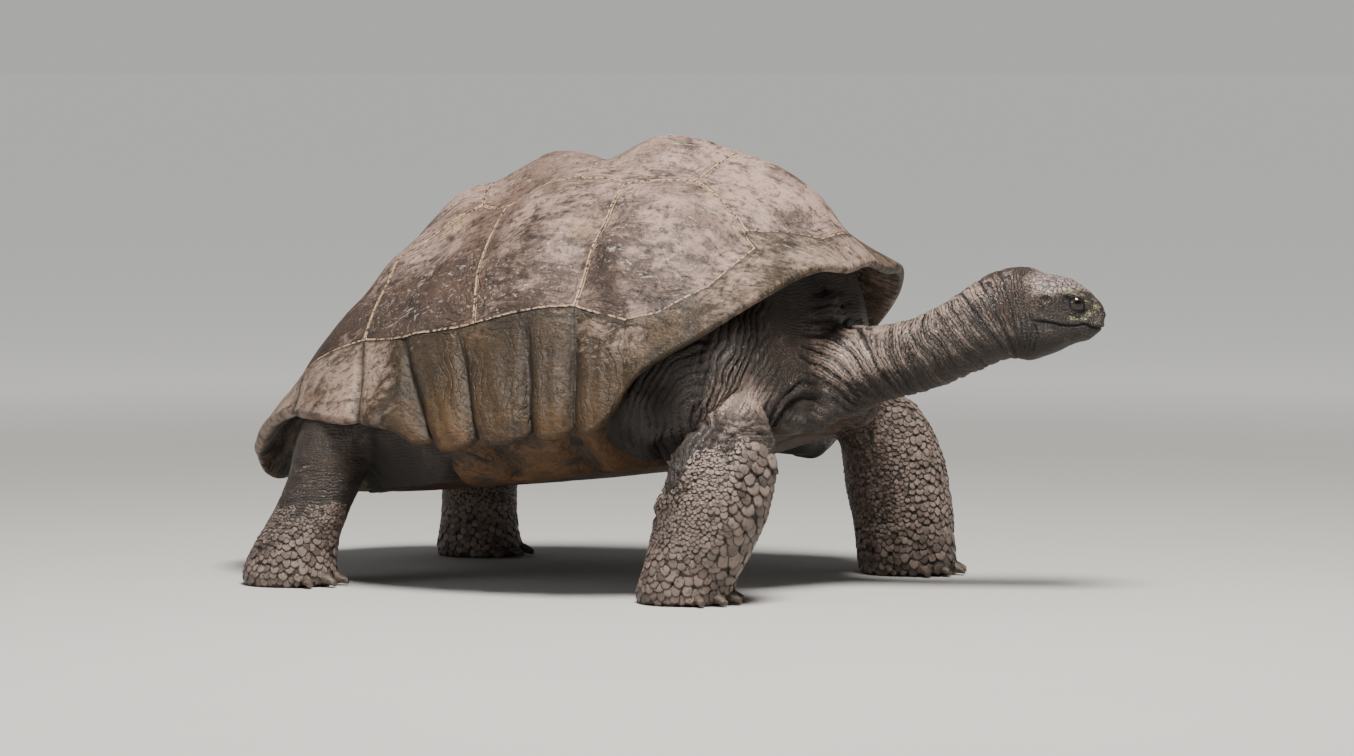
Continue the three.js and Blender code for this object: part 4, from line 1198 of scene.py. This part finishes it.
class Paint:
    """One material and the nodes that make it."""

    def __init__(self, name, **constants):
        self.material = bpy.data.materials.new(name)
        self.material.use_nodes = True
        self.tree = self.material.node_tree
        self.tree.nodes.clear()
        self.shader = self.tree.nodes.new("ShaderNodeBsdfPrincipled")
        out = self.tree.nodes.new("ShaderNodeOutputMaterial")
        self.tree.links.new(self.shader.outputs[0], out.inputs["Surface"])
        for socket, value in constants.items():
            self.shader.inputs[socket.replace("_", " ")].default_value = value

    def node(self, kind, settings, inputs):
        made = self.tree.nodes.new(kind)
        for key, value in settings.items():
            setattr(made, key, value)
        for key, value in inputs.items():
            self.feed(made.inputs[key], value)
        return [Wire(self, s) for s in made.outputs]

    def feed(self, socket, value):
        if isinstance(value, Wire):
            self.tree.links.new(value.socket, socket)
        elif socket.type == "RGBA":
            socket.default_value = (*value, 1)
        else:
            socket.default_value = value

    def math(self, operation, *values):
        return self.node("ShaderNodeMath", {"operation": operation}, dict(enumerate(values)))[0]

    def places(self, scale=(1, 1, 1), turn=(0, 0, 0)):
        """Places on the object, turned by degrees and squeezed by the scale."""
        at = self.node("ShaderNodeTexCoord", {}, {})[3]
        inputs = {"Vector": at, "Rotation": tuple(math.radians(a) for a in turn),
                  "Scale": tuple(1 / k for k in scale)}
        return self.node("ShaderNodeMapping", {"vector_type": "TEXTURE"}, inputs)[0]

    def noise(self, at, scale, detail=4, rough=0.55, warp=0.0):
        return self.node("ShaderNodeTexNoise", {}, {"Vector": at, "Scale": scale, "Detail": detail,
                                                    "Roughness": rough, "Distortion": warp})[0]

    def cells(self, at, scale):
        """Distance from the nearest border between random cells."""
        return self.node("ShaderNodeTexVoronoi", {"feature": "DISTANCE_TO_EDGE"},
                         {"Vector": at, "Scale": scale, "Randomness": 1.0})[0]

    def band(self, value, low, high):
        """0 where the value is low and 1 where it is high, with a smooth step between."""
        return self.node("ShaderNodeMapRange", {"interpolation_type": "SMOOTHSTEP", "clamp": True},
                         {0: value, 1: low, 2: high, 3: 0.0, 4: 1.0})[0]

    def attribute(self, name):
        return self.node("ShaderNodeAttribute", {"attribute_name": name}, {})[2]

    def mix(self, a, b, share):
        return self.node("ShaderNodeMix", {"data_type": "RGBA", "clamp_factor": True},
                         {0: share, 6: a, 7: b})[2]

    def over(self, colour, *layers):
        """Lays tones over a colour, one after another, each by its own share."""
        for tone, share in layers:
            colour = self.mix(colour, tone, share)
        return colour

    def axes(self, at):
        return self.node("ShaderNodeSeparateXYZ", {}, {0: at})

    def bump(self, height, millimetres, strength):
        inputs = {"Height": height, "Distance": millimetres / 1000, "Strength": strength}
        return self.node("ShaderNodeBump", {}, inputs)[0]

    def done(self, colour, roughness, normal, **more):
        self.feed(self.shader.inputs["Base Color"], colour)
        self.feed(self.shader.inputs["Roughness"], roughness)
        self.feed(self.shader.inputs["Normal"], normal)
        for socket, value in more.items():
            self.feed(self.shader.inputs[socket.replace("_", " ")], value)
        return self.material


# stains of the near pleural plates: place across the ground in metres, reach, colour and strength
STAINS = [((-0.335, -0.250), 0.022, "dark", 0.75), ((-0.36, -0.125), 0.034, "seam", 0.5),
          ((-0.28, -0.262), 0.016, "dark", 0.5), ((-0.05, -0.255), 0.028, "seam", 0.3),
          ((-0.44, -0.19), 0.03, "dark", 0.45)]
# the three directions of the fine scratches: turn in degrees and fineness
SCRATCHES = [((0, 34, 14), 30), ((0, -26, -18), 38), ((0, 6, 26), 32)]


def stain_layers(paint, tones, x, y, mottle):
    for (place_x, place_y), reach, tone, strength in STAINS:
        off_x, off_y = x - place_x, y - place_y
        away = paint.math("SQRT", off_x * off_x + off_y * off_y) + mottle * 0.03
        yield getattr(tones, tone), paint.band(away, reach + 0.016, reach * 0.4 + 0.016) * strength


def scratch_marks(paint):
    marks = []
    for turn, scale in SCRATCHES:
        lines = paint.noise(paint.places((scale * 0.3, scale * 4.0, scale * 4.0), turn), 1.0, 4, 0.7)
        marks.append(paint.band(lines, 0.585, 0.66))
    return paint.math("MAXIMUM", paint.math("MAXIMUM", marks[0], marks[1]), marks[2])


def horn_material(name, tones, rim_share):
    """Old horn: mottled, brushed and scratched, with pale lines at the seams and grime and painted shade in
    the grooves.
    """
    paint = Paint(name, Specular_IOR_Level=0.45)
    at = paint.places()
    x, y, z = paint.axes(at)
    seam = paint.attribute("seam")
    broad = paint.noise(at, 4.2, 3, 0.5, 0.5)
    mottle = paint.noise(at, 15, 6, 0.7, 0.9)
    brush = paint.noise(paint.places((16, 75, 30), (12, 24, 10)), 1.0, 5, 0.72, 0.5)
    fine = paint.noise(at, 90, 5, 0.7)
    patches = paint.noise(at, 9, 7, 0.72, 0.7)
    # where the horn is paler or darker: paler high up along the sides and towards the front, partly
    # sun-bleached horn and partly painted sheen from above; darker low down on the rim and belly plates,
    # partly their own colour and partly painted shade; paler at the rear, and darker low on the rear of the
    # back plates
    flank = paint.band(z, 0.46, 0.33) * paint.band(x, -0.42, -0.22) * rim_share
    rear = paint.band(x, -0.28, -0.5) * 0.75 + paint.band(x, -0.3, -0.46) * rim_share * 1.15
    darker_rear_low = paint.band(x, -0.2, -0.3) * paint.band(z, 0.62, 0.5) * 0.6 * (1 - rim_share)
    sides = paint.band(z, 0.58, 0.7) * 0.2 - darker_rear_low
    height = z * 2.0 + x * 0.4 + rear + sides - flank * 0.95
    # worn starts from that height, so its pale is partly painted sheen and its dark partly painted shade
    worn = height + broad * 1.5 + mottle * 2.2 + brush * 1.9 + fine * 1.0
    lobe = paint.band(z, 0.36, 0.27) * flank * paint.band(mottle, 0.38, 0.55)
    warm = paint.band(paint.noise(at, 6, 4, 0.6) + flank * 0.15, 0.46, 0.6)
    colour = paint.over(tones.base, (tones.pale, paint.band(worn, 4.1, 5.05)), (tones.warm, warm * 0.65),
                        (tones.lobe, lobe * 0.8), (tones.dark, paint.band(patches, 0.49, 0.36) * 0.75))
    if not rim_share:
        colour = paint.over(colour, *stain_layers(paint, tones, x, y, mottle))
    streaks = scratch_marks(paint)
    rubbed = paint.band(paint.noise(at, 7, 3) + z * 0.4 - flank * 0.2, 0.6, 0.8)
    grooved = paint.math("SINE", (seam + paint.noise(at, 9, 4, 0.6) * 70) * 0.5)
    near_seam = paint.band(seam, 75, 8) * paint.band(paint.noise(at, 11, 2), 0.42, 0.62)
    rings = paint.band(grooved, 0.5, 1.0) * near_seam
    line = paint.band(seam, 4.4, 2.6) * paint.band(paint.noise(at, 150, 2), 0.40, 0.50)
    colour = paint.over(colour, (tones.scratch, streaks * rubbed * 0.75),
                        (tones.dark, paint.band(fine + brush * 0.6, 0.80, 0.64) * 0.6),
                        (tones.dark, rings * 0.55),
                        # a wide dark band beside each seam: grime and painted shade in the groove
                        (tones.dark, paint.band(seam + mottle * 14, 15 + 9 * rim_share, 6) * 0.8),
                        (tones.seam, line * (1 - rim_share)),
                        (tones.dark, paint.band(seam, 1.3, 0.4) * 0.9))
    relief = fine * 1.0 + mottle * 2.0 + brush * 1.6 - streaks * 0.5 - rings * 0.6 + patches * 1.2
    return paint.done(colour, 0.40 + fine * 0.3 - streaks * 0.06, paint.bump(relief, 2.6, 0.9))


def start_hide(name, tones):
    """What hide and scales share: the paint, its places, mottle, fine grain and first colour."""
    paint = Paint(name, Specular_IOR_Level=0.55)
    at = paint.places()
    mottle, fine = paint.noise(at, 16, 5, 0.6, 0.3), paint.noise(at, 110, 4, 0.6)
    colour = paint.mix(tones.base, tones.warm, paint.band(paint.noise(at, 7, 3), 0.45, 0.65) * 0.7)
    return paint, at, mottle, fine, colour


def scale_material(tones):
    """Dry horny scales: each of its own tint, dark round its rim, with a fine grain."""
    paint, at, mottle, fine, colour = start_hide("scaled_hide", tones)
    tint = paint.attribute("tint") * 0.5 + mottle * 0.8 + paint.noise(at, 9, 3) * 0.8
    colour = paint.over(colour, (tones.pale, paint.band(tint, 0.55, 1.4) * 0.72 + 0.06),
                        (tones.dark, paint.band(paint.attribute("rim") + fine * 0.3, 0.65, 0.2) * 0.92),
                        (tones.dark, paint.band(fine, 0.46, 0.34) * 0.55))
    height = fine * 0.9 + paint.band(paint.cells(at, 260), 0.0, 0.1) * 0.4 + mottle * 0.5
    return paint.done(colour, 0.40 + mottle * 0.2, paint.bump(height, 1.5, 0.8))


def skin_material(tones):
    """Dry wrinkled hide: painted shade in the folds and fine wrinkles, paler on the ridges, partly worn hide
    and partly painted highlight, with a fine pebbled grain.
    """
    paint, at, mottle, fine, colour = start_hide("hide", tones)
    crack = paint.cells(paint.places((1, 1, 0.6)), 120)
    fold, line, lined, worn, plates, head, shaded = (
        paint.attribute(name) for name in ("fold", "line", "lined", "worn", "plates", "head", "dark"))
    # thin wrinkles between the modelled folds
    thread = paint.math("ABSOLUTE", paint.math("SINE", (line * 2.0 + fine * 1.2 + mottle) * math.pi))
    thread = 1 - (1 - paint.band(thread, 0.0, 0.7)) * lined * paint.band(paint.noise(at, 30, 3), 0.3, 0.6)
    # large scales on the crown and pebbles on the rest of the head
    big, small = paint.cells(paint.places((1, 1, 1.25)), 92), paint.cells(at, 190)
    scale = paint.band(big, 0.02, 0.12) * plates + (1 - plates)
    pebble = paint.band(small, 0.02, 0.14) * head * (1 - plates) + (1 - head * (1 - plates))
    ridge = (fold * 0.45 + mottle * 0.7 + thread * 0.3 + worn * 0.5 + plates * 0.35 + fine * 0.4
             + lined * 0.06)
    # the pale of the ridges and worn places is partly worn hide and partly painted highlight; the dark of the
    # folds and fine wrinkles is painted shade in the creases
    colour = paint.over(colour, (tones.pale, paint.band(ridge, 1.29, 1.66)),
                        (tones.pale, worn * paint.band(fine, 0.35, 0.55) * 0.6),
                        (tones.violet, paint.band(plates * scale + mottle * 0.4, 0.7, 1.2) * 0.6),
                        (tones.patch, paint.attribute("pale") * paint.band(fine, 0.38, 0.5) * pebble),
                        (tones.dark, paint.band(fold, 0.85, 0.3) * 0.95),
                        (tones.dark, paint.band(thread, 0.8, 0.1) * 0.75),
                        (tones.dark, (1 - scale * pebble) * 0.75),
                        (tones.dark, paint.band(crack, 0.10, 0.02) * 0.4),
                        (tones.deep, shaded))
    height = (paint.band(paint.cells(at, 260), 0.0, 0.12) * 0.3 + paint.band(crack, 0.0, 0.16) * 0.45
              + mottle * 0.4 + thread * 1.1 + scale * 1.2 + pebble * 0.8)
    rough = 0.42 - worn * 0.10 + mottle * 0.1 - fold * 0.05 + shaded * 0.4
    return paint.done(colour, rough, paint.bump(height, 1.5, 0.9))


def claw_material(tones):
    """Dark nail with pale streaks along it."""
    paint = Paint("nail_horn", Specular_IOR_Level=0.4)
    at = paint.places((1, 1, 3))
    streak = paint.noise(at, 90, 4, 0.6)
    colour = paint.mix(tones.dark, tones.pale, paint.band(streak, 0.35, 0.75))
    return paint.done(colour, 0.45 + streak * 0.2, paint.bump(streak, 0.5, 0.5))


def eye_material():
    """Nearly black brown iris round a black pupil, under a wet clear layer."""
    pupil, outer = (0.001, 0.001, 0.001), (0.012, 0.010, 0.008)
    iris_dark, iris_light = (0.010, 0.006, 0.004), (0.040, 0.022, 0.011)
    paint = Paint("wet_eye", Coat_Weight=0.5, Coat_Roughness=0.04, Specular_IOR_Level=0.3)
    tilt = paint.attribute("tilt")
    fibre = paint.noise(paint.places(), 900, 3)
    iris = paint.mix(iris_dark, iris_light, fibre)
    colour = paint.over(pupil, (iris, paint.band(tilt, 17, 20)), (outer, paint.band(tilt, 34, 40)))
    return paint.done(colour, 0.10 + fibre * 0.05, paint.bump(fibre, 0.05, 0.2))


# ------------------------------------------------------------------ settings
def colour_setting(name, description, value):
    return bpy.props.FloatVectorProperty(name=name, description=description, subtype="COLOR", size=3,
                                         min=0, max=1, default=value)


def horn_settings(where, base, pale, warm, dark, seam, lobe, scratch):
    """The seven colours of one kind of horn."""
    return {"base": colour_setting("Horn", f"Main colour of {where}", base),
            "pale": colour_setting("Pale horn", f"The most worn places of {where}", pale),
            "warm": colour_setting("Warm horn", f"Brown or ochre patches on {where}", warm),
            # the groove colour paints grime and also painted shade in the grooves
            "dark": colour_setting("Grooves", f"Grime in the grooves of {where}", dark),
            "seam": colour_setting("Seam line", f"Line between two of {where}", seam),
            "lobe": colour_setting("Low horn", f"Orange-brown colour low down on {where}", lobe),
            "scratch": colour_setting("Scratches", f"Fine pale scratches on {where}", scratch)}


class ShellSettings(bpy.types.PropertyGroup):
    __annotations__ = horn_settings("the back plates", base=(0.062, 0.038, 0.027),
                                    pale=(0.345, 0.230, 0.188), warm=(0.080, 0.042, 0.026),
                                    dark=(0.020, 0.013, 0.010), seam=(0.46, 0.31, 0.19),
                                    lobe=(0.10, 0.05, 0.02), scratch=(0.46, 0.38, 0.33))


class RimSettings(bpy.types.PropertyGroup):
    __annotations__ = horn_settings("the rim plates", base=(0.038, 0.022, 0.009),
                                    pale=(0.29, 0.202, 0.158), warm=(0.055, 0.029, 0.008),
                                    dark=(0.014, 0.010, 0.006), seam=(0.07, 0.048, 0.032),
                                    lobe=(0.125, 0.058, 0.016), scratch=(0.34, 0.26, 0.20))


class BellySettings(bpy.types.PropertyGroup):
    __annotations__ = horn_settings("the belly plates", base=(0.030, 0.016, 0.004),
                                    pale=(0.14, 0.115, 0.04), warm=(0.075, 0.030, 0.006),
                                    dark=(0.008, 0.005, 0.003), seam=(0.05, 0.03, 0.015),
                                    lobe=(0.11, 0.046, 0.008), scratch=(0.20, 0.14, 0.07))


class SkinSettings(bpy.types.PropertyGroup):
    base: colour_setting("Hide", "Main colour of the hide", (0.034, 0.021, 0.015))
    # the worn hide colour paints worn ridges and places and also painted highlight
    pale: colour_setting("Worn hide", "Ridges and worn places", (0.30, 0.222, 0.185))
    warm: colour_setting("Brown hide", "Brown patches", (0.044, 0.025, 0.016))
    violet: colour_setting("Crown", "Large scales on top of the head", (0.24, 0.205, 0.215))
    dark: colour_setting("Folds", "Colour deep in the folds", (0.007, 0.005, 0.004))
    patch: colour_setting("Eye patches", "Yellow-green patches round the eye", (0.27, 0.28, 0.13))
    deep: colour_setting("Shaded hide", "Hide that never sees the sun", (0.008, 0.004, 0.002))


class ClawSettings(bpy.types.PropertyGroup):
    dark: colour_setting("Nail", "Main colour of the nails", (0.045, 0.034, 0.027))
    pale: colour_setting("Nail streaks", "Pale streaks along the nails", (0.16, 0.12, 0.09))


class StageSettings(bpy.types.PropertyGroup):
    daylight: bpy.props.FloatProperty(name="Daylight", description="Strength of the even light",
                                      default=0.17, min=0)
    key: bpy.props.FloatProperty(name="Main light", description="Power of the large soft light, in watts",
                                 default=640, min=0)
    horizon: colour_setting("Horizon", "Colour of the far floor and the air over it", (0.42, 0.42, 0.41))
    floor: colour_setting("Floor", "Colour of the plain floor", (0.50, 0.49, 0.47))
    lens: bpy.props.FloatProperty(name="Lens", description="Focal length of the camera", default=137.6,
                                  min=10, unit="CAMERA")


SETTINGS = {"shell": ShellSettings, "rim": RimSettings, "belly": BellySettings, "skin": SkinSettings,
            "claw": ClawSettings, "stage": StageSettings}


class TortoiseSettings(bpy.types.PropertyGroup):
    shell: bpy.props.PointerProperty(type=ShellSettings)
    rim: bpy.props.PointerProperty(type=RimSettings)
    belly: bpy.props.PointerProperty(type=BellySettings)
    skin: bpy.props.PointerProperty(type=SkinSettings)
    claw: bpy.props.PointerProperty(type=ClawSettings)
    stage: bpy.props.PointerProperty(type=StageSettings)


# ------------------------------------------------------------------ operators
def plate_rows(kind):
    """Name, seams and sides of each plate of a kind; a plate of the middle has both sides."""
    rows = [(name, seams, (1, -1)) for name, seams in MIDDLE_PLATES.items() if name.startswith(kind)]
    return rows + [(name.replace("_", f"_{word}_"), seams, (side,))
                   for name, seams in SIDE_PLATES.items() if name.startswith(kind) for word, side in SIDES]


def finish_plate(name, bm, seam, material, slot_name):
    """A plate's object, with each vertex's distance from the seams, in place of the plate's own node."""
    obj = add_object(f"{name}_horn", bm, PLATE_EDGE)
    point_value(obj, "seam", seam)
    finish(obj, material, slot_name, name)


class Step(bpy.types.Operator):
    """Shared parts of the building steps"""
    bl_options = {"REGISTER", "UNDO"}

    def fail(self, why):
        self.report({"ERROR"}, why)
        raise RuntimeError(why)


class TORTOISE_OT_top_plates(Step):
    """Build the plates of the domed back"""
    bl_idname = "tortoise.top_plates"
    bl_label = "Back plates"

    def execute(self, context):
        material = horn_material("worn_horn", context.scene.tortoise.shell, 0.0)
        for name, seams, sides in plate_rows("vertebral") + plate_rows("pleural"):
            finish_plate(name, *shell_plate(seams, sides, False), material, "scute")
        return {"FINISHED"}


class TORTOISE_OT_rim_plates(Step):
    """Build the plates that end at the shell's rim"""
    bl_idname = "tortoise.rim_plates"
    bl_label = "Rim plates"

    def execute(self, context):
        material = horn_material("rim_horn", context.scene.tortoise.rim, 0.6)
        for name, seams, sides in plate_rows("nuchal") + plate_rows("supracaudal") + plate_rows("marginal"):
            finish_plate(name, *shell_plate(seams, sides, True), material, "rim_scute")
        return {"FINISHED"}


class TORTOISE_OT_belly_plates(Step):
    """Build the flat plates under the body"""
    bl_idname = "tortoise.belly_plates"
    bl_label = "Belly plates"

    def execute(self, context):
        material = horn_material("belly_horn", context.scene.tortoise.belly, 0.6)
        for name in BELLY_SEAMS:
            for word, side in SIDES:
                finish_plate(f"{name}_{word}", *belly_plate(name, side), material, "belly_scute")
        return {"FINISHED"}


class TORTOISE_OT_skin(Step):
    """Build the one skin over head, neck, legs, tail and trunk"""
    bl_idname = "tortoise.skin"
    bl_label = "Skin"

    def execute(self, context):
        material = skin_material(context.scene.tortoise.skin)
        bm, values = build_skin()
        if len(bm.faces) < 1000:
            self.fail("The skin came out empty.")
        obj = add_object("skin", bm)
        for name, value in values.items():
            point_value(obj, name, value)
        finish(obj, material, "skin", *FLESH)
        return {"FINISHED"}


class TORTOISE_OT_scales(Step):
    """Lay the horny scales over the legs, lying down towards the feet"""
    bl_idname = "tortoise.scales"
    bl_label = "Leg scales"

    def execute(self, context):
        skin = bpy.data.objects.get("skin")
        if skin is None:
            self.fail("Build the skin first.")
        material = scale_material(context.scene.tortoise.skin)
        for index, leg in enumerate(LEGS):
            finish(leg_scales(index, leg, skin), material, "skin")
        return {"FINISHED"}


class TORTOISE_OT_claws(Step):
    """Build the nails of the four feet"""
    bl_idname = "tortoise.claws"
    bl_label = "Nails"

    def execute(self, context):
        material = claw_material(context.scene.tortoise.claw)
        for leg in LEGS:
            finish(add_object(f"{leg}_nails", claw_bmesh(leg), NAIL_EDGE), material, "rim_scute")
        return {"FINISHED"}


class TORTOISE_OT_eyes(Step):
    """Build the two eyes"""
    bl_idname = "tortoise.eyes"
    bl_label = "Eyes"

    def execute(self, context):
        material = eye_material()
        for word, side in SIDES:
            bm, tilt = eye_bmesh(side)
            obj = add_object(f"eyeball_{word}", bm)
            point_value(obj, "tilt", tilt)
            finish(obj, material, "eye", f"eye_{word}")
        return {"FINISHED"}


def add_floor(look):
    """A plain floor, a millimetre under the soles, whose far part glows with the horizon's colour: painted
    light.
    """
    bm = bmesh.new()
    bmesh.ops.create_grid(bm, x_segments=1, y_segments=1, size=FLOOR_HALF)
    floor = add_object("floor", bm)
    paint = Paint("floor_plain", Specular_IOR_Level=0.2)
    grain = paint.noise(paint.places(), 2.0, 2)
    shade = paint.mix(tuple(look.floor), tuple(c * 0.94 for c in look.floor), grain)
    x, y, _ = paint.axes(paint.places())
    glow = paint.mix((0, 0, 0), look.horizon, paint.band(x * x + y * y, 0.5, 36))
    paint.shader.inputs["Emission Strength"].default_value = 1.0
    bump = paint.bump(grain, 0.5, 0.1)
    floor.data.materials.append(paint.done(shade, 0.9 + grain * 0.05, bump, Emission_Color=glow))
    floor.location.z = -0.001


def add_world(look):
    """Even daylight from above, with the horizon's colour low down."""
    world = bpy.data.worlds.new("daylight")
    world.use_nodes = True
    tree = world.node_tree
    at, axes, ramp = (tree.nodes.new(f"ShaderNode{kind}") for kind in ("TexCoord", "SeparateXYZ", "ValToRGB"))
    for socket, to in ((at.outputs["Generated"], axes.inputs[0]), (axes.outputs["Z"], ramp.inputs[0]),
                       (ramp.outputs["Color"], tree.nodes["Background"].inputs[0])):
        tree.links.new(socket, to)
    low, high = ramp.color_ramp.elements
    low.position, low.color = 0.02, (*(c * 1.16 for c in look.horizon), 1)
    high.position, high.color = 0.2, (look.daylight, look.daylight, look.daylight, 1)
    bpy.context.scene.world = world


def add_lamp(name, at, size, power, tint):
    """A large round lamp that is turned to the middle of the body."""
    light = bpy.data.lights.new(f"{name}_light", "AREA")
    light.shape, light.size, light.energy, light.color = "DISK", size, power, tint
    lamp = bpy.data.objects.new(f"{name}_light", light)
    lamp.location = at
    lamp.rotation_euler = (Vector(BODY_MIDDLE) - Vector(at)).to_track_quat("-Z", "Y").to_euler()
    bpy.context.scene.collection.objects.link(lamp)


def add_camera(look):
    camera = bpy.data.objects.new("camera", bpy.data.cameras.new("camera"))
    camera.location = CAMERA_AT
    aim = Vector(CAMERA_AIM) - camera.location
    camera.rotation_euler = aim.to_track_quat("-Z", "Y").to_euler()
    camera.data.sensor_width, camera.data.lens = 36, look.lens
    camera.data.clip_end = 1000
    bpy.context.scene.collection.objects.link(camera)
    bpy.context.scene.camera = camera


class TORTOISE_OT_stage(Step):
    """Set the floor, the soft daylight and the camera"""
    bl_idname = "tortoise.stage"
    bl_label = "Stage"

    def execute(self, context):
        look = context.scene.tortoise.stage
        add_floor(look)
        add_world(look)
        add_lamp("main", (1.2, -1.8, 4.8), 1.8, look.key, (1.0, 0.97, 0.92))
        add_lamp("fill", (-3.5, -5.0, 2.6), 3.5, look.key * 0.12, (0.92, 0.96, 1.0))
        add_camera(look)
        return {"FINISHED"}


STEPS = (TORTOISE_OT_top_plates, TORTOISE_OT_rim_plates, TORTOISE_OT_belly_plates, TORTOISE_OT_skin,
         TORTOISE_OT_scales, TORTOISE_OT_claws, TORTOISE_OT_eyes, TORTOISE_OT_stage)


class TORTOISE_PT_panel(bpy.types.Panel):
    """Every building step, in order, and its settings"""
    bl_idname = "TORTOISE_PT_panel"
    bl_label = "Giant tortoise"
    bl_space_type = "VIEW_3D"
    bl_region_type = "UI"
    bl_category = "Tortoise"

    def draw(self, context):
        for kind in STEPS:
            self.layout.operator(kind.bl_idname)
        for group, kind in SETTINGS.items():
            box = self.layout.box()
            box.label(text=group.capitalize())
            for name in kind.__annotations__:
                box.prop(getattr(context.scene.tortoise, group), name)


CLASSES = (*SETTINGS.values(), TortoiseSettings, *STEPS, TORTOISE_PT_panel)


def register():
    for kind in CLASSES:
        bpy.utils.register_class(kind)
    bpy.types.Scene.tortoise = bpy.props.PointerProperty(type=TortoiseSettings)


def unregister():
    del bpy.types.Scene.tortoise
    for kind in reversed(CLASSES):
        bpy.utils.unregister_class(kind)


def main():
    register()
    for kind in STEPS:
        group, name = kind.bl_idname.split(".")
        if getattr(getattr(bpy.ops, group), name)() != {"FINISHED"}:
            raise RuntimeError(f"{kind.bl_label} was not finished")


if __name__ == "__main__":
    main()
